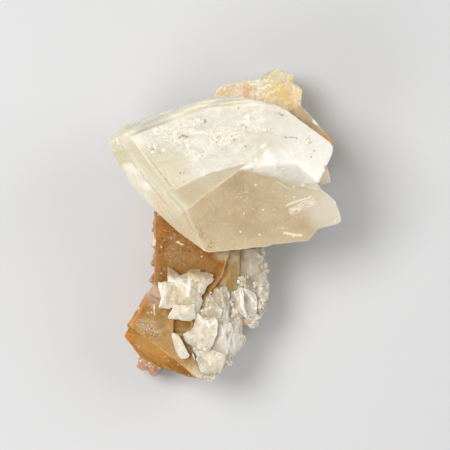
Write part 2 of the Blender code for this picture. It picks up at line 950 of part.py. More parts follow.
def calcite(grown=0.0):
    """The calcite: a broad crystal with growth layers along its upper edge, a lobe below it, and a spur."""
    broad = [BROAD, FROSTED, LAST_STRIATED, LAST_UPPER, LAST_RIGHT, LEFT, BEVEL, TIP, BOTTOM_SIDE, UNDERSIDE]
    body = cut_crystal("broad", CALCITE_HEART, broad + LEFT_SIDES + TOP_SIDES + RIGHT_SIDES, grown)
    above_lobe = [flipped(facet) for facet in (LOWER, BAND, BAND_END)]
    carve(body, [cut_crystal("above_lobe", (10.0, 0.0, 60.0), above_lobe, -grown)])
    for rim, out, face, drop in LEDGES:
        step = [flipped(shifted(rim, out)), flipped(shifted(face, -drop))]
        outside = rim.place + rim.normal * 40.0 + Vector((0.0, 0.0, 40.0))
        carve(body, [cut_crystal("step", outside, step, -grown)])
    lobe = [LOBE_TOP, shifted(FROSTED, -0.5), shifted(BOTTOM_SIDE, -0.3), shifted(UNDERSIDE, -0.5)]
    lobe += [wall((10.5, -3.9, 20.0), (10.5, 12.0, 20.0), 92.0)]
    spur = [SPUR_TOP, wall((15.0, -3.0, 20.0), (15.0, 14.0, 20.0), 92.0)]
    spur += [shifted(FROSTED, -0.8), shifted(UNDERSIDE, -1.0)]
    fuse(
        "calcite_crystal",
        [
            body,
            cut_crystal("lobe", LOBE_HEART, lobe + LOBE_SIDES, grown),
            cut_crystal("spur", SPUR_HEART, spur + SPUR_SIDES, grown),
        ],
    )
    if not grown:
        carve(body, [turned_box("break", *size) for size in BREAKS])
    return body


def fluorite_crystal(crystal, grown=0.0):
    """A fluorite crystal with a flat front, straight sides below its outline, and the flat broken back."""
    sides = []
    for first, second, slope in zip(crystal.outline, crystal.outline[1:], crystal.slopes):
        sides += walls(on_facet(crystal.front, first, second), slope)
    across = [sum(values) / len(values) for values in zip(*crystal.outline)]
    heart = (across[0], across[1], crystal.front.place.z * 0.5)
    return cut_crystal("fluorite", heart, [crystal.front, BACK] + sides + list(crystal.extra), grown)


def fluorite(name, crystals, cubes, grown=0.0):
    """A group of fluorite crystals that grew together."""
    solids = [fluorite_crystal(crystal, grown) for crystal in crystals]
    solids += [turned_box("cube", middle, size, CUBE_TURNS, grown) for middle, size in cubes]
    return fuse(name, solids)


def offset(rim, distance):
    """The rim of a crystal's face, moved outwards in plan at each corner."""
    moved = []
    for before, corner, after in zip(rim[-1:] + rim[:-1], rim, rim[1:] + rim[:1]):
        sides = []
        for first, second in ((before, corner), (corner, after)):
            edge = (Vector(second) - Vector(first)).to_2d().normalized()
            sides.append(Vector((-edge.y, edge.x)))
        out = (sides[0] + sides[1]) * distance / max(1.0 + sides[0].dot(sides[1]), 0.4)
        moved.append((corner[0] + out.x, corner[1] + out.y, corner[2]))
    return tuple(moved)


def dolomite_crystal(block, relief, grown=0.0):
    """A dolomite crystal: its uneven face rises or dips to a middle, and its sides draw in to a root."""
    solid = bmesh.new()
    raised = Vector((0.0, 0.0, grown))
    middle = Vector(block.middle)
    top = solid.verts.new(metres(middle + raised))
    face = []
    root = []
    for corner in offset(block.rim, grown):
        height = middle.z + (corner[2] - middle.z) * relief
        face.append(solid.verts.new(metres(Vector((corner[0], corner[1], height)) + raised)))
        x, y = middle.to_2d().lerp(Vector(corner).to_2d(), ROOT_SIZE)
        root.append(solid.verts.new(metres((x, y, block.root - grown))))
    for place in range(len(face)):
        following = (place + 1) % len(face)
        solid.faces.new((top, face[place], face[following]))
        solid.faces.new((face[place], root[place], face[following]))
        solid.faces.new((root[place], root[following], face[following]))
    solid.faces.new(root)
    return new_object("crystal", solid)


def lower_blocks():
    """A second tier of crystals below those of the rim, down to the floor, where the side is seen."""
    generator = random.Random(RIM_SEED)
    tier = []
    for block in RIM_BLOCKS:
        top = block.root + generator.uniform(0.6, 2.6)
        turn = Matrix.Rotation(math.radians(generator.uniform(-9.0, 9.0)), 2)
        middle = Vector(block.middle).to_2d()
        size = generator.uniform(0.82, 0.93)
        rim = []
        for corner in block.rim:
            x, y = middle + turn @ (Vector(corner).to_2d() - middle) * size
            rim.append((x, y, top + 0.5 * (corner[2] - block.middle[2])))
        tier.append(Block(tuple(rim), (middle.x, middle.y, top), 0.0))
    return tuple(tier)


def dolomite(name, blocks, beds, grown=0.0):
    """A group of dolomite crystals, joined by the beds of granular dolomite that they grew from."""
    solids = [dolomite_crystal(bed, 1.0, grown) for bed in beds]
    solids += [dolomite_crystal(block, FACE_RELIEF, grown) for block in blocks]
    return fill_hollows(fuse(name, solids))


def column_druse():
    """Small cubes down the column's left side, where its outline is ragged."""
    generator = random.Random(DRUSE_SEED)
    cubes = []
    for row in range(DRUSE_ROWS):
        side = generator.uniform(1.6, 3.0)
        across = DRUSE_START[0] + generator.uniform(-0.2, 0.3)
        middle = (across, DRUSE_START[1] + DRUSE_PITCH * row, generator.uniform(3.0, 11.5))
        cubes.append((middle, (side, side, side)))
    return cubes


def golden_fluorite(grown=0.0):
    """The column, the lower cube and the pale cube behind the column's right edge."""
    crystals = (COLUMN, LOWER_CUBE, PALE_CUBE)
    body = fluorite("fluorite_column", crystals, COLUMN_STEPS + tuple(column_druse()), grown)
    if not grown:
        carve(body, [turned_box("hollow", *CUBE_HOLLOW)])
    return body


def upper_fluorite(grown=0.0):
    """The block above the calcite."""
    return fluorite("fluorite_upper_block", (BLOCK_LEFT, BLOCK_CORNER, BLOCK_RIGHT), (), grown)


def smoky_fluorite(grown=0.0):
    """The smoky cube behind the calcite's right end."""
    return fluorite("fluorite_smoky_cube", (SMOKY_CUBE, SMOKY_TIP), (), grown)


def finish(name):
    """A material of this mineral."""
    colour, roughness = FINISHES[name]
    material = bpy.data.materials.new(name)
    material.use_nodes = True
    shader = material.node_tree.nodes["Principled BSDF"]
    shader.inputs["Base Color"].default_value = colour
    shader.inputs["Roughness"].default_value = roughness
    shader.inputs["Metallic"].default_value = 0.0
    return material


def give_finishes(nodes):
    """Gives each node its own material."""
    for node in nodes:
        node.data.materials.clear()
        node.data.materials.append(finish(NODE_FINISHES[node.name]))


def set_on_origin(nodes):
    """Moves the specimen so that the middle of its footprint lies at the origin."""
    corners = [vert.co for node in nodes for vert in node.data.vertices]
    low = Vector([min(corner[axis] for corner in corners) for axis in range(3)])
    high = Vector([max(corner[axis] for corner in corners) for axis in range(3)])
    for node in nodes:
        node.location = (-(low.x + high.x) / 2.0, -(low.y + high.y) / 2.0, -low.z)


def main():
    start_scene()
    nodes = [
        calcite(),
        carve(golden_fluorite(), [calcite(GAP)]),
        carve(upper_fluorite(), [calcite(GAP)]),
        carve(smoky_fluorite(), [calcite(GAP), upper_fluorite(GAP)]),
        carve(dolomite("dolomite_front_cluster", FRONT_BLOCKS, FRONT_BEDS), [golden_fluorite(GAP)]),
        carve(
            dolomite("dolomite_side_cluster", MIDDLE_BLOCKS + RIM_BLOCKS + lower_blocks(), SIDE_BEDS),
            [golden_fluorite(GAP), calcite(GAP), dolomite("near", FRONT_BLOCKS, FRONT_BEDS, GAP)],
        ),
        carve(dolomite("dolomite_blade", BLADE_BLOCKS, ()), [golden_fluorite(GAP)]),
        carve(dolomite("dolomite_foot", FOOT_BLOCKS, FOOT_BEDS), [golden_fluorite(GAP)]),
    ]
    give_finishes(nodes)
    set_on_origin(nodes)


main()
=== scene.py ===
"""Looks of a calcite specimen with fluorite and dolomite, lying on its broken back.

Each mineral's solid is covered by a fine mesh of the same shape, with the steps, striations, pits and grains
that the crystals have. Places on the specimen's face are in millimetres, to the right and upwards from the
middle of the picture, and heights are above the floor.
"""

import logging
import math
import random
from collections.abc import Callable
from dataclasses import dataclass
from enum import Enum
from typing import NamedTuple

import bmesh
import bpy
import numpy as np
from mathutils import Matrix, Vector, noise
from mathutils.bvhtree import BVHTree


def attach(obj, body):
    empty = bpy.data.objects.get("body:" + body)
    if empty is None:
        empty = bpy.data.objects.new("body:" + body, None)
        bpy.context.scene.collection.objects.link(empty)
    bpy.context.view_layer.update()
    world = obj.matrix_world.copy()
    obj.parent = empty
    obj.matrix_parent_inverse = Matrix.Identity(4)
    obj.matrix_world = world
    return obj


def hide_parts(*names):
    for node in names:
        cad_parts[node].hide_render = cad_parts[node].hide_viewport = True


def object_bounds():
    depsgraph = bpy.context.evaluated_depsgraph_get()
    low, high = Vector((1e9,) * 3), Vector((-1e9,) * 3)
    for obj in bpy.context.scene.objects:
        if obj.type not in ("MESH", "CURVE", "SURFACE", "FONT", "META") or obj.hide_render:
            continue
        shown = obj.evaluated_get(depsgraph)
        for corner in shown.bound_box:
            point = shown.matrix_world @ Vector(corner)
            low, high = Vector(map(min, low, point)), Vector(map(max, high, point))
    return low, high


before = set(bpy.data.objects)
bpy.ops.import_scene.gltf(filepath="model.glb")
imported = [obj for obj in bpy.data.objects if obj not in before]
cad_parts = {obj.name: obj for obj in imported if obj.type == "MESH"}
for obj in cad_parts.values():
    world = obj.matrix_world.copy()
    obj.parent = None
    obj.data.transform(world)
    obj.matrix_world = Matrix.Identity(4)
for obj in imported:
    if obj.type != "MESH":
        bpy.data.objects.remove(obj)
CAD_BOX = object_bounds()

MM = 0.001
FACE_MIDDLE = (0.18, -0.17)  # the middle of the picture, in millimetres from the frame's origin
BODY = "root"
TOP_OF_ALL = 60.0  # a height above everything, in millimetres
CALCITE_IOR = 1.52
FLUORITE_IOR = 1.434
DOLOMITE_IOR = 1.6

log = logging.getLogger("specimen")


def tint(code: str) -> tuple[float, float, float, float]:
    """Gives a colour that is written as screen values in linear light.

    Args:
        code: six hexadecimal digits, such as "E9E3D6".

    Returns:
        Red, green, blue and alpha.
    """
    parts = [int(code[place : place + 2], 16) / 255.0 for place in (0, 2, 4)]
    linear = [part / 12.92 if part <= 0.04045 else ((part + 0.055) / 1.055) ** 2.4 for part in parts]
    return (linear[0], linear[1], linear[2], 1.0)


def three(size: float | tuple) -> tuple:
    """One size for each axis."""
    return size if isinstance(size, tuple) else (size, size, size)


def operator(operation: str, swapped: bool = False) -> Callable[["Wire", "Wire | float"], "Wire"]:
    """Makes one operator of Wire.

    Args:
        operation: the step of arithmetic that it adds to the graph.
        swapped: whether the other value comes first.

    Returns:
        The operator.
    """

    def method(wire: "Wire", other: "Wire | float") -> "Wire":
        """Adds the step."""
        values = (other, wire) if swapped else (wire, other)
        return wire.paint.math(operation, *values)

    return method


class Wire:
    """A shader socket that takes part in arithmetic."""

    __add__ = operator("ADD")
    __sub__ = operator("SUBTRACT")
    __rsub__ = operator("SUBTRACT", swapped=True)
    __mul__ = operator("MULTIPLY")
    __pow__ = operator("POWER")

    def __init__(self, paint: "Paint", socket: bpy.types.NodeSocket) -> None:
        """Keeps the graph that the socket belongs to."""
        self.paint = paint
        self.socket = socket

    def ease(self, low: float, high: float) -> "Wire":
        """Rises smoothly from 0 to 1.

        Args:
            low: where the result is 0. It may be larger than high.
            high: where the result is 1.

        Returns:
            The eased value.
        """
        sockets = {"Value": self, "From Min": low, "From Max": high}
        node = self.paint.node("ShaderNodeMapRange", {"interpolation_type": "SMOOTHSTEP"}, sockets)
        return Wire(self.paint, node.outputs["Result"])


Field = Wire | np.ndarray


def ease(value: Field, low: float, high: float) -> Field:
    """Rises smoothly from 0 to 1, on a shader socket or on an array.

    Args:
        value: what is read.
        low: where the result is 0. It may be larger than high.
        high: where the result is 1.

    Returns:
        The eased value, of the same kind.
    """
    if isinstance(value, Wire):
        return value.ease(low, high)
    part = np.clip((value - low) / (high - low), 0.0, 1.0)
    return part * part * (3.0 - 2.0 * part)


def smaller(first: Field, second: Field) -> Field:
    """The smaller of two values."""
    wired = isinstance(first, Wire)
    return first.paint.math("MINIMUM", first, second) if wired else np.minimum(first, second)


def larger(first: Field, second: Field) -> Field:
    """The larger of two values."""
    wired = isinstance(first, Wire)
    return first.paint.math("MAXIMUM", first, second) if wired else np.maximum(first, second)


def limited(value: Field) -> Field:
    """A value held between 0 and 1."""
    wired = isinstance(value, Wire)
    return value.paint.math("MULTIPLY", value, 1.0, clamp=True) if wired else np.clip(value, 0.0, 1.0)


class Shape:
    """A shape on the specimen's face."""

    def mask(self, x: Field, y: Field) -> Field:
        """Tells how much of a place the shape covers.

        Args:
            x: the place to the right, in millimetres.
            y: the place upwards.

        Returns:
            1 inside and 0 outside, with a soft rim.
        """
        raise NotImplementedError


@dataclass(frozen=True)
class Spot(Shape):
    """An oval on the face: its middle, its half sizes, its turn in degrees and how soft its rim is."""

    x: float
    y: float
    across: float
    along: float
    turn: float = 0.0
    blur: float = 0.8

    def mask(self, x: Field, y: Field) -> Field:
        """Tells how much of a place the oval covers.

        Args:
            x: the place to the right, in millimetres.
            y: the place upwards.

        Returns:
            1 inside and 0 outside, with a soft rim.
        """
        angle = math.radians(self.turn)
        right = x - self.x
        up = y - self.y
        u = (right * math.cos(angle) + up * math.sin(angle)) * (1.0 / self.across)
        v = (up * math.cos(angle) - right * math.sin(angle)) * (1.0 / self.along)
        return ease((u * u + v * v) ** 0.5, 1.0 + self.blur / 2.0, 1.0 - self.blur / 2.0)


@dataclass(frozen=True)
class Streak(Shape):
    """A band along a path on the face, with its half width and how softly it ends."""

    path: tuple
    width: float
    blur: float = 0.6

    def mask(self, x: Field, y: Field) -> Field:
        """Tells how much of a place the band covers.

        Args:
            x: the place to the right, in millimetres.
            y: the place upwards.

        Returns:
            1 inside and 0 outside, with a soft rim.
        """
        nearest = None
        for (ax, ay), (bx, by) in zip(self.path, self.path[1:]):
            dx = bx - ax
            dy = by - ay
            part = limited(((x - ax) * dx + (y - ay) * dy) * (1.0 / (dx * dx + dy * dy)))
            right = x - ax - part * dx
            up = y - ay - part * dy
            reach = (right * right + up * up) ** 0.5
            nearest = reach if nearest is None else smaller(nearest, reach)
        return ease(nearest, self.width + self.blur / 2.0, max(self.width - self.blur / 2.0, 0.0))


@dataclass(frozen=True)
class Side(Shape):
    """All of the face to the left of a straight edge, as seen on the way from its start to its end."""

    start: tuple
    end: tuple
    blur: float = 0.5

    def mask(self, x: Field, y: Field) -> Field:
        """Tells how much of a place is to the left of the edge.

        Args:
            x: the place to the right, in millimetres.
            y: the place upwards.

        Returns:
            1 inside and 0 outside, with a soft rim.
        """
        dx = self.end[0] - self.start[0]
        dy = self.end[1] - self.start[1]
        length = math.hypot(dx, dy)
        beside = ((y - self.start[1]) * dx - (x - self.start[0]) * dy) * (1.0 / length)
        return ease(beside, -self.blur / 2.0, self.blur / 2.0)


@dataclass(frozen=True)
class Corner(Shape):
    """What lies inside all of several shapes."""

    shapes: tuple

    def mask(self, x: Field, y: Field) -> Field:
        """Tells how much of a place every shape covers.

        Args:
            x: the place to the right, in millimetres.
            y: the place upwards.

        Returns:
            1 inside and 0 outside, with a soft rim.
        """
        result = self.shapes[0].mask(x, y)
        for shape in self.shapes[1:]:
            result = result * shape.mask(x, y)
        return result


@dataclass(frozen=True)
class Several(Shape):
    """What lies inside any of several shapes."""

    shapes: tuple

    def mask(self, x: Field, y: Field) -> Field:
        """Tells how much of a place any of the shapes covers.

        Args:
            x: the place to the right, in millimetres.
            y: the place upwards.

        Returns:
            1 inside and 0 outside, with a soft rim.
        """
        result = self.shapes[0].mask(x, y)
        for shape in self.shapes[1:]:
            result = larger(result, shape.mask(x, y))
        return result


class Place(NamedTuple):
    """A wavy place on the face, on which marks are laid so that their rims aren't straight.

    A firm place has small waves and a soft one has large waves.
    """

    x: Wire
    y: Wire

    def over(self, shape: Shape, strength: "Wire | float", colour: object) -> tuple:
        """A mark on a shape, as a mask and a colour."""
        return shape.mask(*self) * strength, colour

    def spot(self, *values: object) -> tuple:
        """A mark on an oval, from the values of Spot, then a strength and a colour."""
        *oval, strength, colour = values
        return self.over(Spot(*oval), strength, colour)

    def streak(self, *values: object) -> tuple:
        """A mark on a band, from the values of Streak, then a strength and a colour."""
        *band, strength, colour = values
        return self.over(Streak(*band), strength, colour)


class Metric(Enum):
    """How the distance to a scattered point is measured, which makes round or square cells."""

    ROUND = "EUCLIDEAN"
    SQUARE = "CHEBYCHEV"


class Paint:
    """The shader graph of one material, built from expressions."""

    MIX_INPUTS = (0, 6, 7)  # the mix node's factor and its two colours
    MIX_OUTPUT = 2  # its colour

    def __init__(self, name: str) -> None:
        """Starts a material with one Principled shader, and reads the place on the face.

        Args:
            name: the material's name.
        """
        self.material = bpy.data.materials.new(name)
        self.material.use_nodes = True
        self.tree = self.material.node_tree
        self.shader = self.tree.nodes["Principled BSDF"]
        coordinates = self.tree.nodes.new("ShaderNodeTexCoord")
        offset = (-FACE_MIDDLE[0], -FACE_MIDDLE[1], 0.0)
        self.place = self.vector("MULTIPLY_ADD", coordinates.outputs["Object"], (1.0 / MM,) * 3, offset)
        parts = self.node("ShaderNodeSeparateXYZ", {}, {"Vector": self.place})
        self.x = Wire(self, parts.outputs["X"])
        self.y = Wire(self, parts.outputs["Y"])
        self.z = Wire(self, parts.outputs["Z"])

    def node(self, kind: str, settings: dict, sockets: dict) -> bpy.types.Node:
        """Adds a node.

        Args:
            kind: the node's type.
            settings: its properties, which are set first.
            sockets: the value or link of each input, by its name or its number.

        Returns:
            The node.
        """
        node = self.tree.nodes.new(kind)
        for key, value in settings.items():
            setattr(node, key, value)
        for key, value in sockets.items():
            self.connect(node.inputs[key], value)
        return node

    def connect(self, socket: bpy.types.NodeSocket, value: object) -> None:
        """Links or sets a socket.

        Args:
            socket: the socket that is fed.
            value: another socket, a colour of six digits, or a plain value.
        """
        if isinstance(value, Wire):
            value = value.socket
        if isinstance(value, bpy.types.NodeSocket):
            self.tree.links.new(value, socket)
        else:
            socket.default_value = tint(value) if isinstance(value, str) else value

    def math(self, operation: str, *values: Wire | float, clamp: bool = False) -> Wire:
        """One step of arithmetic on numbers."""
        settings = {"operation": operation, "use_clamp": clamp}
        return Wire(self, self.node("ShaderNodeMath", settings, dict(enumerate(values))).outputs["Value"])

    def vector(self, operation: str, *values: object) -> bpy.types.NodeSocket:
        """One step of arithmetic on vectors."""
        node = self.node("ShaderNodeVectorMath", {"operation": operation}, dict(enumerate(values)))
        return node.outputs["Vector"]

    def stretched(self, size: float | tuple, turn: float) -> bpy.types.NodeSocket:
        """The place as a pattern of one grain sees it.

        Args:
            size: the grain in millimetres, or one for each axis.
            turn: how far the axes are turned about Z, in degrees.

        Returns:
            The place turned, and divided by the grain.
        """
        sockets = {"Vector": self.place, "Rotation": (0.0, 0.0, -math.radians(turn))}
        turned = self.node("ShaderNodeMapping", {"vector_type": "POINT"}, sockets)
        scale = tuple(1.0 / part for part in three(size))
        return self.vector("MULTIPLY", turned.outputs["Vector"], scale)

    def noise(
        self,
        size: float | tuple,
        turn: float = 0.0,
        detail: float = 3.0,
        roughness: float = 0.55,
        warp: float = 0.0,
    ) -> Wire:
        """Cloudy noise.

        Args:
            size: the size of its lumps in millimetres, or one size for each axis.
            turn: how far the axes are turned about Z, in degrees.
            detail: how many finer layers it has.
            roughness: how strong they are.
            warp: how much it is distorted.

        Returns:
            A value around 0.5.
        """
        sockets = {
            "Vector": self.stretched(size, turn),
            "Scale": 1.0,
            "Detail": detail,
            "Roughness": roughness,
            "Distortion": warp,
        }
        return Wire(self, self.node("ShaderNodeTexNoise", {}, sockets).outputs["Fac"])

    def points(self, size: float | tuple, turn: float, metric: Metric) -> tuple[Wire, Wire]:
        """Scattered points, each with a cell around it.

        Args:
            size: the cells' size in millimetres, or one size for each axis.
            turn: how far the axes are turned about Z, in degrees.
            metric: how distances are measured.

        Returns:
            The distance to the nearest point, and a random value from 0 to 1 for its cell.
        """
        sockets = {"Vector": self.stretched(size, turn), "Scale": 1.0}
        node = self.node("ShaderNodeTexVoronoi", {"feature": "F1", "distance": metric.value}, sockets)
        parts = self.node("ShaderNodeSeparateColor", {}, {"Color": node.outputs["Color"]})
        return Wire(self, node.outputs["Distance"]), Wire(self, parts.outputs["Red"])

    def cells(self, size: float | tuple, turn: float = 0.0, metric: Metric = Metric.ROUND) -> Wire:
        """The distance to the nearest of scattered points, in cells of about this size."""
        return self.points(size, turn, metric)[0]

    def mosaic(self, size: float | tuple, turn: float = 0.0) -> Wire:
        """A random value from 0 to 1 for each block of about this size."""
        return self.points(size, turn, Metric.SQUARE)[1]

    def grains(self, size: float, amount: float) -> Wire:
        """Small random grains.

        Args:
            size: the size of the cells that they lie in, in millimetres.
            amount: the share of cells that have one.

        Returns:
            1 on each grain.
        """
        distance, value = self.points(size, 0.0, Metric.ROUND)
        return value.ease(1.0 - amount, 1.0 - amount * 0.7) * distance.ease(0.42, 0.22)

    def attribute(self, name: str) -> Wire:
        """A value that the mesh keeps at its corners."""
        return Wire(self, self.node("ShaderNodeAttribute", {"attribute_name": name}, {}).outputs["Fac"])

    def mix(self, factor: Wire | float, first: object, second: object) -> bpy.types.NodeSocket:
        """A colour between two. Each is six digits or a socket."""
        sockets = dict(zip(self.MIX_INPUTS, (factor, first, second)))
        return self.node("ShaderNodeMix", {"data_type": "RGBA"}, sockets).outputs[self.MIX_OUTPUT]

    def layers(self, base: object, *steps: tuple) -> object:
        """A colour with others laid over it.

        Args:
            base: the lowest colour.
            steps: what lies over it, in order, each a mask and a colour.

        Returns:
            The colour that is seen.
        """
        colour = base
        for factor, over in steps:
            colour = self.mix(factor, colour, over)
        return colour

    def wobbly(self, size: float, amount: float) -> Place:
        """The place on the face with a wavy error.

        Args:
            size: the size of the waves in millimetres.
            amount: how far they reach to each side, in millimetres.

        Returns:
            The wavy place.
        """
        first = self.noise(size, 0.0, 2.0)
        second = self.noise(size * 0.83, 40.0, 2.0)
        return Place(self.x + (first - 0.5) * (2.0 * amount), self.y + (second - 0.5) * (2.0 * amount))

    def set(self, **values: object) -> None:
        """Sets or links the Principled shader's sockets, with spaces for underscores in their names."""
        for key, value in values.items():
            self.connect(self.shader.inputs[key.replace("_", " ")], value)

    def stone(
        self,
        colour: object,
        roughness: Wire | float,
        glow: tuple,
        reach: float,
        ior: float,
        shine: float = 0.35,
    ) -> None:
        """Sets the shader of a mineral that lets some light in.

        Args:
            colour: its colour.
            roughness: its roughness.
            glow: how far red, green and blue light go in, as shares of the reach.
            reach: how far light goes in, in millimetres.
            ior: its index of refraction.
            shine: how strongly its surface mirrors, where 0.5 is a perfect polish.
        """
        self.set(
            Base_Color=colour,
            Roughness=roughness,
            Subsurface_Weight=0.8,
            Subsurface_Radius=glow,
            Subsurface_Scale=reach * MM,
            IOR=ior,
            Specular_IOR_Level=shine,
        )

    def bump(self, height: Wire, depth: float) -> None:
        """Gives the shader a bump, where height 1 stands this many millimetres proud."""
        sockets = {"Height": height, "Strength": 1.0, "Distance": depth * MM}
        self.set(Normal=self.node("ShaderNodeBump", {}, sockets).outputs["Normal"])


class Grain(Enum):
    """The kinds of relief that a surface can have, and the texture that makes each."""

    CLOUDS = "CLOUDS"
    BLOCKS = "VORONOI"


@dataclass(frozen=True)
class Relief:
    """One layer of relief: its kind, the size of its lumps, its turn, its depth and where it is."""

    kind: Grain
    size: float | tuple
    depth: float
    turn: tuple = (0.0, 0.0, 0.0)
    where: Shape | None = None
    middle: float = 0.5
    heights: tuple = (-5.0, TOP_OF_ALL)


def only(obj: bpy.types.Object) -> None:
    """Selects one object and no other, and makes it active.

    Args:
        obj: the object.
    """
    bpy.ops.object.select_all(action="DESELECT")
    obj.select_set(True)
    bpy.context.view_layer.objects.active = obj


def add_mesh(name: str, mesh: bpy.types.Mesh) -> bpy.types.Object:
    """Puts a mesh into the scene.

    Args:
        name: the object's name.
        mesh: its mesh.

    Returns:
        The object.
    """
    obj = bpy.data.objects.new(name, mesh)
    bpy.context.scene.collection.objects.link(obj)
    return obj


def apply_modifier(obj: bpy.types.Object, kind: str, **settings: object) -> None:
    """Adds a modifier and applies it.

    Args:
        obj: the object.
        kind: the modifier's type.
        settings: its properties.
    """
    only(obj)
    modifier = obj.modifiers.new(kind.lower(), kind)
    for key, value in settings.items():
        setattr(modifier, key, value)
    bpy.ops.object.modifier_apply(modifier=modifier.name)


def vectors(mesh: bpy.types.Mesh, name: str) -> np.ndarray:
    """Reads a vector at each corner of a mesh.

    Args:
        mesh: the mesh.
        name: "co" for the places and "normal" for the normals.

    Returns:
        One row a corner.
    """
    values = np.empty(len(mesh.vertices) * 3)
    mesh.vertices.foreach_get(name, values)
    return values.reshape(-1, 3)


def corner_places(obj: bpy.types.Object) -> np.ndarray:
    """Every corner of a mesh, in millimetres on the face."""
    return vectors(obj.data, "co") / MM - (*FACE_MIDDLE, 0.0)


def to_frame(x: float, y: float, z: float) -> Vector:
    """A place on the face as a place in the frame, in metres."""
    return Vector((x + FACE_MIDDLE[0], y + FACE_MIDDLE[1], z)) * MM


class Skin:
    """A fine mesh that stands for a solid and takes relief."""

    WELD = 0.002  # how near two corners of the solid are when they become one, in millimetres
    DEEPEST = 9  # how often the box around the mesh is halved at most
    SMALLEST, LARGEST = 0.45, 0.99  # the share of that box that the mesh may fill
    LEVELS = 24  # how many steps a relief's weights have
    REACH = 0.7  # how near a solid has to be to be met, in millimetres
    SLIT = 0.42  # the slit that is closed all the way
    LAP = 0.06  # how far the surface runs into the solid that it meets

    def __init__(self, node: str, name: str, cell: float) -> None:
        """Copies the solid and gives it a fine, even mesh that keeps its sharp edges.

        Args:
            node: the solid's name.
            name: the new piece's name.
            cell: the size of the mesh's faces in millimetres.
        """
        self.node = node
        self.piece = add_mesh(name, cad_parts[node].data.copy())
        only(self.piece)
        bpy.ops.object.mode_set(mode="EDIT")
        bpy.ops.mesh.select_all(action="SELECT")
        bpy.ops.mesh.remove_doubles(threshold=self.WELD * MM)
        bpy.ops.object.mode_set(mode="OBJECT")
        longest = max(self.piece.dimensions) / MM
        depth = self.DEEPEST
        while longest / (cell * 2**depth) < self.SMALLEST:
            depth -= 1
        apply_modifier(
            self.piece,
            "REMESH",
            mode="SHARP",
            octree_depth=depth,
            scale=min(longest / (cell * 2**depth), self.LARGEST),
            sharpness=1.0,
            use_remove_disconnected=False,
        )

    def edge_weights(self, reach: int, depth: float) -> np.ndarray:
        """Measures how much each corner stands proud of its smoothed surroundings.

        Args:
            reach: how many times the surroundings are smoothed.
            depth: the height in millimetres that counts as 1.

        Returns:
            One value a corner, from -1 in a hollow to 1 on an edge.
        """
        mesh = self.piece.data
        count = len(mesh.vertices)
        places = vectors(mesh, "co")
        ends = np.empty(len(mesh.edges) * 2, dtype=np.int64)
        mesh.edges.foreach_get("vertices", ends)
        ends = ends.reshape(-1, 2)
        links = np.bincount(ends.ravel(), minlength=count).reshape(-1, 1)
        smooth = places.copy()
        for _ in range(reach):
            total = np.zeros_like(smooth)
            for axis in range(3):
                for here, there in ((0, 1), (1, 0)):
                    beside = smooth[ends[:, there], axis]
                    total[:, axis] += np.bincount(ends[:, here], weights=beside, minlength=count)
            smooth = 0.5 * smooth + 0.5 * total / np.maximum(links, 1)
        proud = ((places - smooth) * vectors(mesh, "normal")).sum(axis=1) / MM
        return np.clip(proud / depth, -1.0, 1.0)

    def group(self, weights: np.ndarray) -> str:
        """Keeps weights as a vertex group.

        Args:
            weights: how strong a modifier is at each corner.

        Returns:
            The group's name.
        """
        group = self.piece.vertex_groups.new(name="relief")
        steps = np.round(np.clip(weights, 0.0, 1.0) * self.LEVELS).astype(int)
        for step in range(1, self.LEVELS + 1):
            chosen = np.nonzero(steps == step)[0]
            if len(chosen):
                group.add(chosen.tolist(), step / self.LEVELS, "REPLACE")
        return group.name

    def relieve(self, relief: Relief, weights: np.ndarray | None = None) -> None:
        """Moves the surface by one layer of relief.

        Args:
            relief: the layer.
            weights: how strong it is at each corner, besides where the layer says that it is.
        """
        places = corner_places(self.piece)
        strength = np.ones(len(places)) if weights is None else weights.copy()
        if relief.where is not None:
            strength *= relief.where.mask(places[:, 0], places[:, 1])
        low, high = relief.heights
        strength *= ease(places[:, 2], low - 1.0, low) * ease(places[:, 2], high + 1.0, high)
        texture = bpy.data.textures.new("relief", relief.kind.value)
        texture.noise_scale = 1.0
        if relief.kind is Grain.BLOCKS:
            texture.distance_metric = Metric.SQUARE.value
        axes = bpy.data.objects.new("relief_axes", None)
        bpy.context.scene.collection.objects.link(axes)
        axes.scale = [size * MM for size in three(relief.size)]
        axes.rotation_euler = [math.radians(angle) for angle in relief.turn]
        bpy.context.view_layer.update()
        apply_modifier(
            self.piece,
            "DISPLACE",
            texture=texture,
            texture_coords="OBJECT",
            texture_coords_object=axes,
            vertex_group=self.group(strength),
            mid_level=relief.middle,
            strength=relief.depth * MM,
        )
        self.piece.vertex_groups.clear()
        bpy.data.objects.remove(axes)
        bpy.data.textures.remove(texture)

    def steepness(self) -> np.ndarray:
        """How steep the surface is at each corner: 0 where it is level and 1 where it is upright."""
        return ease(np.abs(vectors(self.piece.data, "normal")[:, 2]), 0.75, 0.35)

    def wear_edges(self, size: float, depth: float) -> None:
        """Wears the edges down, by up to about this many millimetres and in spots of this size."""
        wear = Relief(Grain.CLOUDS, size, -depth, middle=0.35)
        self.relieve(wear, np.clip(self.edge_weights(5, 0.10), 0.0, 1.0))

    def soften(self, times: int, where: Shape | None = None, weights: np.ndarray | None = None) -> None:
        """Rounds the surface.

        Args:
            times: how often it is smoothed.
            where: the shape on the face that is smoothed, or None for all of it.
            weights: how strong it is at each corner, in place of a shape.
        """
        places = corner_places(self.piece)
        if where is not None:
            weights = where.mask(places[:, 0], places[:, 1])
        elif weights is None:
            weights = np.ones(len(places))
        group = self.group(weights)
        apply_modifier(self.piece, "SMOOTH", factor=0.5, iterations=times, vertex_group=group)
        self.piece.vertex_groups.clear()

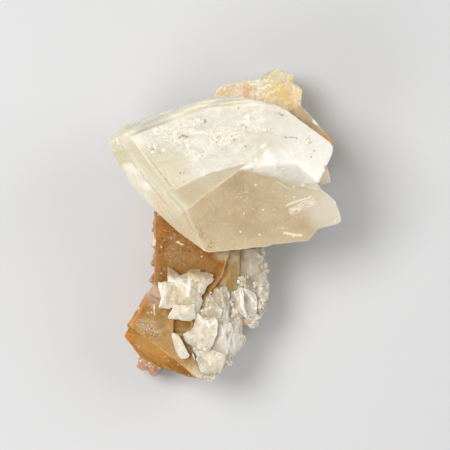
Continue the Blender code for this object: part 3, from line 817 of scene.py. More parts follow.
    def meet(self, neighbours: tuple[str, ...]) -> None:
        """Lets the surface run on to the solids beside it, so that no slit shows between two minerals.

        Args:
            neighbours: the names of those solids.
        """
        tree = Surface([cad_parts[name] for name in neighbours]).tree
        for vertex in self.piece.data.vertices:
            place, _, _, away = tree.find_nearest(vertex.co, self.REACH * MM)
            if place is None or away == 0.0:
                continue
            part = min(1.0, max(0.0, (self.REACH - away / MM) / (self.REACH - self.SLIT)))
            vertex.co += (place - vertex.co) * part * (1.0 + self.LAP * MM / away)

    def stay_inside(self) -> None:
        """Keeps every corner on or above the floor, and inside the solids' box."""
        mesh = self.piece.data
        places = np.clip(vectors(mesh, "co"), CAD_BOX[0], CAD_BOX[1])
        mesh.vertices.foreach_set("co", places.ravel())
        mesh.update()

    def keep(self, name: str, values: np.ndarray) -> None:
        """Keeps a value at each corner, for the material."""
        layer = self.piece.data.attributes.new(name, "FLOAT", "POINT")
        layer.data.foreach_set("value", values.astype(np.float32))

    def finish(self, material: bpy.types.Material, slot: str, angle: float = 32.0) -> bpy.types.Object:
        """Dresses the piece and puts it in the solid's place.

        Args:
            material: its material.
            slot: the record's material slot. It is not used.
            angle: the angle in degrees from which an edge looks sharp.

        Returns:
            The piece.
        """
        self.stay_inside()
        # The materials read this to paint highlights on raised edges and shade in hollows.
        self.keep("proud", self.edge_weights(6, 0.12))
        mesh = self.piece.data
        mesh.materials.clear()
        mesh.materials.append(material)
        only(self.piece)
        bpy.ops.object.shade_smooth_by_angle(angle=math.radians(angle))
        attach(self.piece, BODY)
        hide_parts(self.node)
        return self.piece


class Surface:
    """Finds the height and slope of pieces below a place on the face."""

    def __init__(self, pieces: list[bpy.types.Object]) -> None:
        """Builds one search tree.

        Args:
            pieces: the meshes that go into it.
        """
        corners = []
        faces = []
        for piece in pieces:
            start = len(corners)
            corners += [vertex.co.copy() for vertex in piece.data.vertices]
            faces += [[start + index for index in face.vertices] for face in piece.data.polygons]
        self.tree = BVHTree.FromPolygons(corners, faces)

    def below(self, x: float, y: float) -> tuple[Vector, Vector] | None:
        """The highest place below a point of the face and its normal, or None where there is nothing."""
        hit, normal, _, _ = self.tree.ray_cast(to_frame(x, y, TOP_OF_ALL), Vector((0.0, 0.0, -1.0)))
        return None if hit is None else (hit, normal)

    def bridged(self, x: float, y: float, reach: float) -> tuple[Vector, Vector] | None:
        """The place below a point, but level with the lower rim of a crevice that runs through it.

        Args:
            x: the point's place to the right.
            y: the point's place upwards.
            reach: how far away the rims may be, in millimetres.

        Returns:
            The place and its normal, or None where there is nothing.
        """
        found = self.below(x, y)
        if found is None:
            return None
        height = found[0].z
        for angle in (0.0, math.pi / 4.0, math.pi / 2.0, math.pi * 0.75):
            right = reach * math.cos(angle)
            up = reach * math.sin(angle)
            rims = [self.below(x + side * right, y + side * up) for side in (-1.0, 1.0)]
            if None not in rims:
                height = max(height, min(rim[0].z for rim in rims))
        if height > found[0].z:
            return Vector((found[0].x, found[0].y, height)), Vector((0.0, 0.0, 1.0))
        return found


class GrainShape(Enum):
    """The shapes of single grains."""

    RHOMB = "rhomb"
    LUMP = "lump"


@dataclass
class Scatter:
    """Small grains that sit on a surface, joined in one mesh."""

    TRIES = 60  # how many places are drawn for each grain
    LEAN = 0.28  # how far a rhomb's sides lean
    TILT = 0.5  # how far a grain is tilted, in radians
    SHARP = 20.0  # the angle in degrees from which an edge of a grain looks sharp

    name: str
    where: Shape
    box: tuple
    count: int
    sizes: tuple
    seed: int
    shape: GrainShape = GrainShape.RHOMB
    sunk: float = 0.25
    flat: float = 0.7
    patch: float = 0.0  # the size of the patches that the grains keep to, or 0 where they are everywhere
    bridge: float = 0.0  # how far away a crevice's rims may be for grains to lie across it

    def spots(self) -> np.ndarray:
        """Draws random places on the face.

        Returns:
            Those that the shape covers, more than are needed.
        """
        generator = np.random.default_rng(self.seed)
        left, bottom, right, top = self.box
        spots = generator.uniform((left, bottom), (right, top), (self.count * self.TRIES, 2))
        chance = generator.uniform(size=len(spots))
        here = self.where.mask(spots[:, 0], spots[:, 1])
        spots = spots[chance < here]
        if self.patch:
            lumps = [noise.noise((x / self.patch, y / self.patch, self.seed)) for x, y in spots]
            spots = spots[ease(np.array(lumps), -0.1, 0.25) > 0.5]
        return spots

    def base(self) -> tuple[np.ndarray, list]:
        """Makes one grain of size 1.

        Returns:
            Its corners and its faces.
        """
        mesh = bmesh.new()
        if self.shape is GrainShape.RHOMB:
            bmesh.ops.create_cube(mesh, size=1.0)
            for vertex in mesh.verts:
                vertex.co.x += self.LEAN * vertex.co.y
        else:
            bmesh.ops.create_icosphere(mesh, subdivisions=1, radius=0.5)
        corners = np.array([vertex.co[:] for vertex in mesh.verts])
        faces = [[vertex.index for vertex in face.verts] for face in mesh.faces]
        mesh.free()
        return corners, faces

    def build(self, surface: Surface, material: bpy.types.Material, slot: str) -> bpy.types.Object:
        """Scatters the grains over what the shape covers.

        Args:
            surface: what they sit on.
            material: their material.
            slot: the record's material slot. It is not used.

        Returns:
            The joined piece.
        """
        generator = random.Random(self.seed)
        shape, shape_faces = self.base()
        corners = []
        faces = []
        for x, y in self.spots():
            if len(faces) >= self.count * len(shape_faces):
                break
            found = surface.bridged(x, y, self.bridge) if self.bridge else surface.below(x, y)
            if found is None:
                continue
            hit, normal = found
            size = generator.uniform(*self.sizes) * generator.uniform(0.6, 1.0)
            turn = normal.to_track_quat("Z", "Y").to_matrix()
            turn = turn @ Matrix.Rotation(generator.uniform(0.0, math.tau), 3, "Z")
            turn = turn @ Matrix.Rotation(generator.uniform(-self.TILT, self.TILT), 3, "X")
            width = generator.uniform(0.55, 1.0)
            height = self.flat * generator.uniform(0.7, 1.3)
            stretch = Matrix.Diagonal((1.0, width, height))
            placed = np.array(turn @ stretch) * size * MM
            jitter = np.array([generator.uniform(0.85, 1.15) for _ in range(len(shape))])
            middle = hit + normal * (size * self.sunk * MM)
            start = len(corners)
            corners += ((shape * jitter[:, None]) @ placed.T + np.array(middle)).tolist()
            faces += [[start + index for index in face] for face in shape_faces]
        mesh = bpy.data.meshes.new(self.name)
        mesh.from_pydata(corners, [], faces)
        mesh.materials.append(material)
        piece = add_mesh(self.name, mesh)
        only(piece)
        bpy.ops.object.shade_smooth_by_angle(angle=math.radians(self.SHARP))
        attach(piece, BODY)
        return piece


# The calcite's faces, its crust and its brown specks
UPPER_FACES = Several((Side((-23.8, 20.2), (-4.8, 27.4), 0.3), Side((-4.8, 27.4), (12, 28.2), 0.4)))
LEFT_FACE = Corner((Side((-11.4, 5.2), (-24.3, 20.3), 0.6), Side((-27.5, 2.6), (-9.5, 2.6), 4)))
BEVEL_FACE = Side((-5.3, -4.9), (-12.4, 6.7), 0.4)
LOBE_FACE = Corner((Side((6.6, 15.4), (-9.6, 2.8), 0.25), Side((22.5, 8.6), (3.6, 13), 1.4)))
BAND_FACE = Corner((Side((3.6, 13.2), (8.2, 12.6), 0.3), Side((16.6, 14.6), (3.7, 13.1), 0.3)))
CRUST = Several(
    (
        Spot(-0.6, 20.6, 3.4, 2, 14, 1),
        Spot(5.8, 23, 3, 0.9, -12, 1),
        Spot(5.2, 24.8, 0.7, 1, 0, 1),
        Spot(9.6, 22.3, 1.2, 0.4, 0, 1),
        Spot(-7.8, 24, 3.2, 0.7, 12, 1),
        Spot(-11.8, 20.2, 2.6, 0.9, -18, 1),
        Spot(-15.6, 22.2, 1.8, 0.9, 22, 1),
        Spot(-17, 18.4, 0.8, 1.3, 0, 1),
        Spot(-5.2, 16.2, 1.8, 0.5, 14, 1),
        Spot(12, 13.6, 0.7, 0.4, 20, 0.4),
        Spot(13.2, 12.8, 0.6, 0.4, 20, 0.4),
        Streak(((-3.4, 19), (-4.4, 16.8)), 0.3, 0.8),
        Streak(((-13.4, 21.6), (-9.6, 22.4), (-6, 21.6), (-3.4, 21.6)), 0.35, 1),
        Streak(((-9.6, 19.4), (-8.2, 17.4), (-6.2, 16.2)), 0.3, 0.9),
        Spot(19.6, 19.4, 0.8, 1.2, 20, 1),
    )
)
SPECKS = Several(
    (
        Spot(4.4, 23, 0.8, 0.5, -20, 0.6),
        Spot(10.2, 22.4, 0.5, 0.3, 0, 0.6),
        Spot(2.2, 19.8, 0.5, 0.9, 0, 0.8),
        Spot(-9.8, 20.6, 1.2, 0.5, 0, 0.8),
        Spot(-5, 24.4, 0.8, 0.4, 0, 0.8),
        Spot(-17, 17.8, 0.5, 0.8, 0, 0.8),
        Streak(((13.8, 20.6), (16.8, 20.2)), 0.12, 0.4),
        Streak(((12.4, 26), (14.6, 25.4)), 0.1, 0.4),
        Spot(19.4, 19.6, 0.4, 0.9, 0, 0.8),
    )
)
# Where the calcite is rounded: below the frosted end, and along the left edge of its broad face
BAND = Several((Spot(13.6, 12.8, 9, 2.6, -16, 1), Streak(((15.6, 15.2), (22.4, 10)), 1.4, 2.2)))
LEFT_EDGE = Streak(((-24, 19.6), (-9.8, 3.2), (-5.6, -4.6)), 1.2, 2)
# Where the column is worn: down its left side, and above the lower cube's right corner
WORN = Several((Streak(((-18.4, 4), (-18.6, -15)), 1.4, 1), Spot(-9.6, -23.8, 3, 2, 0, 0.6)))
# Where crumbs of dolomite lie: along its right edge, and in its hollows
MARGIN = Streak(
    ((8.6, -6.6), (9.8, -10.6), (10.2, -14), (9.6, -17.6), (7.8, -21), (6.8, -24), (5.2, -29), (3, -32)),
    0.7,
    1.0,
)
CREVICES = Several(
    (
        Streak(((3.6, -13.6), (4.6, -13), (6.2, -13), (7.2, -14.4)), 0.7, 1),
        Spot(3.9, -13.6, 0.5, 0.5, 0, 0.2),
        Streak(((-3, -16), (-4.8, -18.2), (-5.6, -20)), 0.5, 0.9),
        Streak(((-1, -21), (0.6, -24), (1.8, -27.4)), 0.7, 1.2),
        Streak(((0.8, -16.4), (2, -20.6), (3.6, -23.4)), 0.5, 1),
        Streak(((-6.8, -29), (-3.6, -29.6), (0, -29)), 0.5, 0.9),
    )
)


@dataclass(frozen=True)
class CalciteFinish:
    """Milky calcite: cream-white broad face, frosted right end, honey-coloured lobe, and fine inclusions."""

    base: str = "D5D1C2"
    warm: str = "D3C8AB"
    frost: str = "E4E4DE"
    grey: str = "D3CDC4"
    lobe: str = "C3AE8D"
    lobe_dark: str = "B5A183"
    lobe_pale: str = "DCD3C2"
    leafy: str = "B4B083"
    brown: str = "8F6C40"
    roughness: float = 0.30
    depth_of_light: float = 3.4

    def broad_colour(self, paint: Paint, veils: Wire) -> bpy.types.NodeSocket:
        """The broad front face: cream to the lower left, greyish in the middle, and frosted to the right.

        Args:
            paint: the material's graph.
            veils: the calcite's large cloudy pattern.

        Returns:
            The colour.
        """
        firm = paint.wobbly(2.6, 0.35)
        soft = paint.wobbly(5.0, 1.8)
        wedge = Corner(
            (
                Side((-9.6, 2.8), (6.6, 15.4), 0.3),
                Side((2.2, 13.6), (-4.3, 11.9), 0.5),
                Side((-4.3, 11.9), (-11.4, 8.2), 0.7),
            )
        )
        wisps = paint.noise((5.0, 0.9, 2.0), 38.0, detail=4.0, warp=0.4)
        mottle = paint.noise(1.1, detail=5.0, roughness=0.7).ease(0.48, 0.62)
        scratches = paint.noise((0.9, 0.35, 0.6), -60.0, detail=5.0, warp=0.8).ease(0.48, 0.64)
        right_end = Spot(19.5, 15.5, 7, 5, -40, 1.1).mask(*soft)
        return paint.layers(
            self.base,
            (veils.ease(0.44, 0.70) * 0.7, "ECE8DE"),
            (veils.ease(0.48, 0.30) * 0.5, self.grey),
            (wisps.ease(0.50, 0.66) * 0.45, "F0EDE4"),
            (mottle * 0.4, "EFECE2"),
            soft.spot(-15, 14, 6, 5, -45, 1.2, 0.8, "C6C1AE"),
            soft.spot(-13, 8.5, 9.5, 6, -45, 1.2, 0.7, self.warm),
            soft.spot(-1.5, 15.2, 4.5, 2.2, 10, 1.2, 0.5, self.grey),
            soft.spot(18.5, 16, 9, 5.6, -30, 1.1, 0.85, self.frost),
            (right_end * scratches * 0.45, "F4F2EA"),
            (right_end * mottle * 0.5, "DAD2BE"),
            soft.spot(9.5, 19.6, 5.5, 2.6, 0, 1.2, 0.6, "D2CAB4"),
            soft.spot(13, 24.6, 6, 1.8, -20, 1.2, 0.5, "D8D2C4"),
            firm.over(wedge, 0.8, "B7A787"),
            firm.streak(((8.9, 18.4), (11.3, 14.2)), 0.5, 1.6, wisps.ease(0.40, 0.55) * 0.8, "FAF8F2"),
            firm.streak(((-23.2, 18), (-15, 9), (-9, 3.6)), 0.12, 0.4, 0.6, "A99A74"),
            firm.streak(((-19.6, 16.4), (-12.4, 8.2), (-8.4, 4.4)), 0.08, 0.4, 0.5, "B3A27C"),
        )

    def left_colour(self, paint: Paint) -> bpy.types.NodeSocket:
        """The steep left face: lined along its length, white where it is frosted and leafy near the tip.

        Args:
            paint: the material's graph.

        Returns:
            The colour.
        """
        firm = paint.wobbly(1.6, 0.5)
        lines = paint.noise((7.0, 0.5, 0.6), -51.0, detail=4.0, warp=0.3)
        rust = paint.noise(0.7, detail=3.0).ease(0.5, 0.62)
        clouds = paint.noise((1.6, 0.8, 1.0), -51.0, detail=5.0, warp=0.8).ease(0.5, 0.64)
        return paint.layers(
            paint.mix(lines.ease(0.36, 0.64), "CBC8B2", "E6E5DA"),
            firm.spot(-25.4, 16.4, 2.6, 3.2, 25, 1.2, 0.9, self.leafy),
            (clouds * 0.5, "F0F0E8"),
            firm.spot(-22.3, 13.4, 2.2, 1, -22, 1, 0.9, "FAFBF6"),
            firm.spot(-21, 11, 1.4, 3.4, 38, 1.1, 0.3, "ECEBE2"),
            firm.spot(-18.8, 9.3, 1.7, 0.8, -30, 1, 0.8, "FAFBF6"),
            firm.spot(-26.4, 19.4, 2.4, 1.2, -20, 1, clouds * 0.9, "FBFAF5"),
            firm.spot(-14.6, 4.8, 3.6, 1.8, -50, 1.1, 0.7, "D8C196"),
            firm.spot(-15.6, 5.4, 2.4, 0.9, -50, 1, rust * 0.8, "B98F56"),
            firm.streak(((-22.6, 15.6), (-14, 5)), 0.12, 0.4, 0.6, "A2905F"),
            firm.streak(((-20.9, 15.6), (-14.6, 7)), 0.08, 0.4, 0.5, "AC9A6C"),
        )

    def lobe_colour(self, paint: Paint, veils: Wire) -> bpy.types.NodeSocket:
        """The lower right face: honey-brown near its top corner, paler below and at its end.

        Args:
            paint: the material's graph.
            veils: the calcite's large cloudy pattern.

        Returns:
            The colour.
        """
        firm = paint.wobbly(1.8, 0.4)
        soft = paint.wobbly(4.0, 1.6)
        fibres = paint.noise((0.25, 1.8, 1.0), -14.0, detail=3.0)
        feather = paint.noise((1.1, 0.22, 1.0), 25.0, detail=4.0, warp=0.3).ease(0.42, 0.56)
        shards = paint.noise((0.9, 0.35, 0.6), 12.0, detail=4.0).ease(0.60, 0.66)
        cloudy = Spot(7.6, 5.6, 7.5, 3.6, 0, 1.1).mask(*soft)
        return paint.layers(
            self.lobe,
            soft.spot(4.4, 10.6, 7, 3.8, -20, 1.3, 0.85, self.lobe_dark),
            (veils.ease(0.44, 0.64) * 0.55, "CFBC9C"),
            (veils.ease(0.48, 0.34) * 0.4, "B79D76"),
            soft.spot(24.8, 4, 6, 5.4, -35, 1, 0.9, self.lobe_pale),
            soft.spot(8, -3.8, 15, 2.6, 4, 1.3, 0.7, "CEBD9B"),
            (fibres.ease(0.56, 0.70) * 0.35, "E4D6BC"),
            (cloudy * shards * 0.7, "E6DAC2"),
            soft.spot(16.5, 10.6, 4.6, 1.4, -13, 1.2, 0.7, "DAD0BC"),
            soft.spot(16.4, 7.6, 4.6, 2.4, -15, 1.2, 0.5, "D6CCB2"),
            soft.spot(6, -1.2, 4, 1.6, 0, 1.2, 0.5, self.lobe_dark),
            firm.streak(((14.4, 4.6), (20.2, 6.7)), 0.14, 0.4, 0.9, "F4EBD2"),
            firm.streak(((15.9, 3.4), (20.4, 5.5)), 0.9, 1, feather * 0.85, "EFECDE"),
            firm.streak(((14, -1.9), (18, -2.5)), 0.2, 0.6, 0.85, "F6EEDC"),
            firm.streak(((12.6, -0.6), (14.4, -0.8)), 0.12, 0.4, 0.5, "E8DCC0"),
            firm.streak(((12.2, 10.1), (15.3, 8.4)), 0.14, 0.5, 0.6, "E6DCC6"),
            firm.streak(((18.1, 9.2), (21.7, 8.4)), 0.10, 0.4, 0.6, "EFE8DA"),
            firm.spot(18.1, 9.5, 0.35, 0.3, 0, 0.8, 0.9, "FAF8F0"),
            (paint.grains(0.9, 0.035) * 0.85, "F4ECDD"),
        )

    def make(self) -> bpy.types.Material:
        """Builds the material.

        Returns:
            The material.
        """
        paint = Paint("calcite")
        firm = paint.wobbly(2.2, 0.22)
        soft = paint.wobbly(1.4, 0.7)
        veils = paint.noise(5.0, detail=5.0, warp=0.9)
        fine = paint.noise(0.6, detail=5.0, roughness=0.65)
        lines = paint.noise((6.0, 0.5, 0.6), 20.8, detail=4.0, warp=0.3)
        striated = UPPER_FACES.mask(*firm)
        lobe = LOBE_FACE.mask(*firm)
        patches = paint.noise(2.6, detail=4.0, warp=0.5).ease(0.44, 0.60)
        seam = Streak(((-21.6, 18.8), (-16, 11.6), (-12.6, 7.6), (-9, 3.6)), 1.1, 1).mask(*firm)
        upper = paint.layers(
            paint.mix(lines.ease(0.34, 0.66), "C6C3AE", "E2DFD0"),
            (patches * 0.6, "EEEADC"),
            soft.spot(-17, 23.4, 4, 1.4, 21, 1.2, 0.7, "BDBCA8"),
            soft.spot(-8.4, 27, 6, 1.2, 20, 1.2, 0.7, "FAF1DA"),
            soft.spot(6, 28.6, 5, 0.8, 0, 1.2, 0.7, "FAF6EA"),
            soft.spot(-2, 27.4, 7, 0.8, 6, 1.2, 0.7, "E0CDA4"),
        )
        marks = Several((Spot(-5.6, -2, 2.2, 1, -50, 1), Spot(-3.2, -4.2, 0.8, 1.6, -20, 1)))
        marks = marks.mask(*firm) * paint.noise((0.28, 0.8, 0.6), -20.0).ease(0.54, 0.60)
        crust = CRUST.mask(*soft)
        proud = paint.attribute("proud")
        colour = paint.layers(
            self.broad_colour(paint, veils),
            (striated * 0.95, upper),
            firm.over(LEFT_FACE, 0.95, self.left_colour(paint)),
            (seam * 0.75, paint.mix(lines.ease(0.36, 0.64), "BDB79B", "CFC9B4")),
            firm.streak(((-19.6, 17.8), (-14.5, 11.4), (-12.4, 8.9)), 0.07, 0.4, 0.6, "A99C7C"),
            (lobe, self.lobe_colour(paint, veils)),
            firm.over(BAND_FACE, (1.0 - lobe) * 0.4, "E8E4D8"),
            firm.over(BEVEL_FACE, 0.4, "DACCAB"),
            (crust * 0.5, "EFEADC"),
            (crust * fine.ease(0.42, 0.54) * 0.8, "FBF8F0"),
            # A darker random tone in the crust, painted as the shade between its grains.
            (crust * fine.ease(0.47, 0.37) * 0.6, "BFAA7E"),
            soft.over(SPECKS, fine.ease(0.46, 0.54) * 0.65, self.brown),
            (marks * 0.75, self.brown),
            (paint.grains(0.8, 0.02) * (1.0 - lobe * 0.5) * 0.6, "9A8158"),
            (paint.grains(1.2, 0.03) * (1.0 - lobe) * 0.6, "FCFAF4"),
            (fine.ease(0.56, 0.75) * 0.3, "FBF9F4"),
            # Painted highlight on the raised edges.
            (proud.ease(0.2, 0.9) * 0.25, "F4F0E4"),
            firm.over(LEFT_EDGE, proud.ease(0.05, 0.4) * 0.8, "BEB79E"),
            # Painted shade in the hollows.
            (proud.ease(-0.15, -0.8) * 0.25, "BBA67F"),
        )
        paint.bump(fine * 0.5 + paint.cells(0.5) * 0.3 + lines * striated, 0.08)
        roughness = fine * 0.25 + self.roughness - 0.08
        paint.stone(colour, roughness, (1.0, 0.95, 0.86), self.depth_of_light, CALCITE_IOR)
        return paint.material


@dataclass(frozen=True)
class GoldenFinish:
    """Amber-brown fluorite, etched, with a painted orange glow along its edges and pinkish and tan zones."""

    base: str = "92621F"
    dark: str = "7A4A10"
    pink: str = "A87C58"
    tan: str = "AA8754"
    roughness: float = 0.34
    depth_of_light: float = 2.4

    def column_colour(self, paint: Paint, clouds: Wire, fine: Wire) -> bpy.types.NodeSocket:
        """The column: tan-brown, with a painted orange glow along its rims and a pinkish ragged left side.

        Args:
            paint: the material's graph.
            clouds: the fluorite's cloudy pattern.
            fine: its fine pattern.

        Returns:
            The colour.
        """
        firm = paint.wobbly(1.8, 0.5)
        soft = paint.wobbly(3.0, 1.2)
        crumbs = paint.mosaic(0.6).ease(0.35, 0.65)
        flecks = paint.noise((0.9, 0.25, 0.5), -20.0, detail=3.0).ease(0.60, 0.66)
        zones = paint.noise((2.0, 0.7, 1.0), 52.0, detail=5.0, warp=1.0).ease(0.50, 0.64)
        # The column's upper rim under the calcite, where an orange glow is painted.
        rim = Streak(((-14.2, 1.2), (-8.6, -2.6), (-3.6, -6.6), (0.6, -8.6)), 1, 2.4)
        return paint.layers(
            self.base,
            (clouds.ease(0.42, 0.68) * 0.7, "A67B42"),
            (clouds.ease(0.48, 0.30) * 0.6, self.dark),
            (zones * 0.5, "A97E4C"),
            soft.spot(-10.6, -6.6, 3.2, 3, 0, 1.3, 0.6, "AA845A"),
            soft.spot(-5.6, -9.2, 3, 2.4, -30, 1.3, 0.6, "AA7F4C"),
            # Painted orange glow along the rim.
            firm.over(rim, 0.8, "9A6210"),
            firm.spot(-15.2, -1.8, 1.4, 1.8, 0, 1.1, 0.8, "AE6E1A"),
            firm.spot(-15.2, -4.8, 1.6, 1.6, 0, 1.2, 0.6, "94600F"),
            firm.spot(-9.6, -5.4, 1.8, 1.4, 0, 1.2, 0.5, "94600F"),
            firm.spot(-0.8, -8.4, 2.4, 1.2, -15, 1.1, 0.9, "A0620A"),
            firm.streak(((0.4, -9), (-0.4, -11.8), (-5.6, -17.8)), 0.3, 0.9, 0.5, "A8762E"),
            firm.streak(((-1.6, -9.6), (-2.4, -12), (-6.4, -17)), 0.6, 1.6, 0.5, "8A5416"),
            soft.streak(((-18.2, 3), (-18.4, -15)), 0.9, 1.2, 0.7, "A47A54"),
            soft.streak(((-17.6, 3), (-17.8, -15)), 0.5, 1.2, crumbs * 0.6, "C4A080"),
            soft.streak(((-16.4, 3), (-16.8, -15)), 0.9, 1.8, 0.5, self.pink),
            firm.spot(-11.4, -5.6, 5, 6, 0, 1.2, flecks * 0.7, "E6CFA8"),
            firm.spot(-10.6, -4.4, 1, 0.3, -25, 0.5, fine.ease(0.4, 0.5) * 0.9, "F4E9D4"),
            firm.spot(-17.1, -4, 0.5, 1.1, -10, 0.6, 0.9, "F0E2D0"),
            (fine.ease(0.54, 0.68) * 0.35, "BC9050"),
            (fine.ease(0.42, 0.30) * 0.35, "6A400C"),
        )

    def cube_colour(self, paint: Paint, clouds: Wire, fine: Wire) -> bpy.types.NodeSocket:
        """The lower cube: tan, pinkish at its upper left, with a pale speckled zone above its foot.

        Args:
            paint: the material's graph.
            clouds: the fluorite's cloudy pattern.
            fine: its fine pattern.

        Returns:
            The colour.
        """
        firm = paint.wobbly(1.8, 0.5)
        soft = paint.wobbly(3.0, 1.2)
        crumbs = paint.mosaic(0.5).ease(0.30, 0.60)
        pale_zone = Spot(-18.2, -24.8, 2.8, 1.8, -30, 1.2).mask(*soft)
        return paint.layers(
            self.tan,
            (clouds.ease(0.42, 0.66) * 0.6, "C2A478"),
            (clouds.ease(0.48, 0.32) * 0.5, "9A7438"),
            firm.spot(-16.6, -16.6, 2.2, 2.8, -35, 1.1, 0.85, "BFA394"),
            firm.spot(-19, -20.4, 2.2, 2.6, -35, 1.1, crumbs * 0.8, "AC763A"),
            firm.spot(-20.6, -21.4, 0.8, 3.4, -35, 1, 0.6, "A66A22"),
            (pale_zone * fine.ease(0.51, 0.58) * 0.85, "DCD2BE"),
            (pale_zone * fine.ease(0.49, 0.38) * 0.8, "7A5C38"),
            firm.spot(-9.8, -23.8, 2.2, 1.4, 0, 0.8, 0.9, "B98C4A"),
            firm.spot(-12.6, -23.8, 1.4, 1.4, 0, 1, 0.7, "C49E62"),
            firm.streak(((-22.8, -24.6), (-20, -20), (-18.4, -17.4)), 0.5, 0.9, 0.6, "C08A44"),
            firm.spot(-9, -25.6, 2.4, 0.8, 0, 1, 0.6, "C8A97C"),
            firm.streak(((-17, -19), (-16.9, -21.4)), 0.12, 0.4, 0.9, "F0E4D0"),
            firm.spot(-12.4, -29.6, 3.6, 2, -38, 1.1, 0.6, "BE965A"),
        )

    def make(self) -> bpy.types.Material:
        """Builds the material.

        Returns:
            The material.
        """
        paint = Paint("golden_fluorite")
        firm = paint.wobbly(1.6, 0.3)
        clouds = paint.noise(3.0, detail=5.0, warp=0.8)
        fine = paint.noise(0.45, detail=5.0, roughness=0.75)
        streaks = paint.noise((3.2, 1.1, 2.0), -37.0, detail=3.0, warp=1.2)
        foot = Side((-6.3, -36.6), (-22.8, -24.1), 0.4).mask(*firm)
        foot_colour = paint.layers(
            paint.mix(streaks.ease(0.25, 0.75), "864E00", "AC740C"),
            firm.streak(((-21.4, -25.8), (-13, -32.2), (-6.8, -36.8)), 0.4, 1.6, 0.6, "7E480A"),
            firm.spot(-14.6, -31, 2.4, 1.2, -37, 1.2, 0.7, "C48C30"),
            firm.spot(-18.6, -29.2, 4.4, 2.4, -37, 1.2, 0.75, "C4924A"),
            firm.spot(-5.8, -35.8, 1.2, 0.9, 0, 1, 0.8, "DCC6A0"),
            firm.spot(-11.6, -32.9, 2.8, 1, -38, 1.2, 0.7, "965E08"),
            firm.spot(-23, -27, 1.4, 1.2, 0, 1, 0.8, "CC8220"),
        )
        khaki = Corner((Side((0.5, -6), (-1, -13), 0.8), Side((-6, -16.2), (5, -16.2), 0.6)))
        stripes = paint.noise((0.6, 6.0, 2.0), 4.0).ease(0.35, 0.65)
        khaki_colour = paint.layers(
            paint.mix(stripes, "9C7A44", "AC8E5A"),
            firm.streak(((2, -7), (2.2, -14.6)), 0.3, 0.9, 0.4, "8A7E50"),
            firm.spot(0.3, -11.4, 1.2, 2.6, -14, 1.1, 0.9, "C09A66"),
            firm.spot(-0.7, -13.7, 1, 1, 0, 1, 0.7, "C0AA8C"),
            firm.over(Side((2.6, -5), (2.6, -16), 2.6), 0.8, "B09E7E"),
            # A pale cream patch, painted brighter to make up for the shadow that the calcite casts on it.
            firm.spot(1.6, -7.8, 1.9, 1.6, 0, 1.2, 0.9, "DCC198"),
        )
        lower = Several((Side((-5, -22), (-12.6, -16.8), 0.8), Side((-12.6, -17.6), (-18.4, -13.6), 0.8)))
        tip = Corner((Spot(-4.8, -36, 4.4, 2.8, 0, 0.8), Side((-12.4, -31.4), (-7.3, -36.3), 0.5)))
        tip_colour = paint.mix(fine.ease(0.42, 0.60), "C2B593", "DCD4C2")
        edges = paint.attribute("proud")
        colour = paint.layers(
            self.column_colour(paint, clouds, fine),
            firm.over(lower, 1.0, self.cube_colour(paint, clouds, fine)),
            (foot * 0.95, foot_colour),
            firm.over(khaki, 1.0, khaki_colour),
            firm.over(tip, 0.9, tip_colour),
            # A pale cream patch, painted brighter to make up for the shadow that the calcite casts on it.
            firm.spot(0.4, -7.4, 2.8, 1.2, 0, 1, 0.7, "D8C4A4"),
            (paint.grains(0.8, 0.05) * 0.7, "E8D6B4"),
            (paint.grains(0.7, 0.04) * 0.6, "5E3E1A"),
            # Painted highlight on the raised edges.
            (edges.ease(0.15, 0.8) * 0.35, "D4AC74"),
            # Painted shade in the hollows.
            (edges.ease(-0.1, -0.7) * 0.3, "764812"),
        )
        paint.bump(fine * 0.8 + paint.cells(0.45) * 0.6, 0.14)
        roughness = fine * 0.3 + self.roughness - 0.12
        paint.stone(colour, roughness, (1.0, 0.7, 0.4), self.depth_of_light, FLUORITE_IOR, 0.2)
        return paint.material


@dataclass(frozen=True)
class CreamFinish:
    """Cream to pink fluorite with a painted yellow glow."""

    base: str = "DDCFB2"
    roughness: float = 0.34
    depth_of_light: float = 1.8

    def make(self) -> bpy.types.Material:
        """Builds the material.

        Returns:
            The material.
        """
        paint = Paint("cream_fluorite")
        firm = paint.wobbly(1.4, 0.9)
        clouds = paint.noise(1.6, detail=5.0, warp=0.9)
        fine = paint.noise(0.4, detail=5.0, roughness=0.75)
        crumbs = paint.mosaic(0.45)
        blotches = clouds.ease(0.35, 0.6)
        edges = paint.attribute("proud")
        colour = paint.layers(
            self.base,
            (clouds.ease(0.44, 0.64) * 0.7, "E8DEC6"),
            (clouds.ease(0.46, 0.32) * 0.5, "D6BE94"),
            firm.spot(-0.6, 31.6, 2.6, 2, 10, 1.3, blotches * 0.7, "DDB89C"),
            firm.spot(5.4, 32.2, 0.9, 1.8, 8, 1.3, 0.6, "DFA686"),
            firm.spot(7.8, 30.2, 2, 1.2, 0, 1.2, 0.4, "E4BC98"),
            firm.spot(12.8, 35.4, 3.4, 2.4, 0, 1.2, 0.7, "DAD0AE"),
            # Painted yellow glow, in this spot and the next.
            firm.spot(14.2, 30.4, 3.6, 3, -30, 1.4, blotches * 0.75, "E6C76E"),
            firm.spot(12, 32.6, 2, 1.6, 0, 1.2, 0.6, "E6D088"),
            firm.spot(17.4, 31.4, 1.4, 2.6, 0, 1.2, 0.6, "F4DAB2"),
            firm.spot(17.4, 35.4, 1.4, 1.2, 0, 1.2, 0.5, "E6B692"),
            firm.spot(9, 33.2, 3, 2, 0, 1.2, crumbs.ease(0.5, 0.8) * 0.7, "FAF6EA"),
            (crumbs.ease(0.75, 0.95) * 0.4, "FBF5E6"),
            (crumbs.ease(0.22, 0.05) * 0.25, "C8A672"),
            # Painted highlight on the raised edges.
            (edges.ease(0.15, 0.8) * 0.4, "EEE3CE"),
            # Painted shade in the hollows.
            (edges.ease(-0.2, -0.9) * 0.15, "CDA870"),
        )
        paint.bump(fine * 0.9 + paint.cells(0.5) * 0.6, 0.16)
        roughness = fine * 0.3 + self.roughness - 0.12
        paint.stone(colour, roughness, (1.0, 0.78, 0.52), self.depth_of_light, FLUORITE_IOR)
        return paint.material


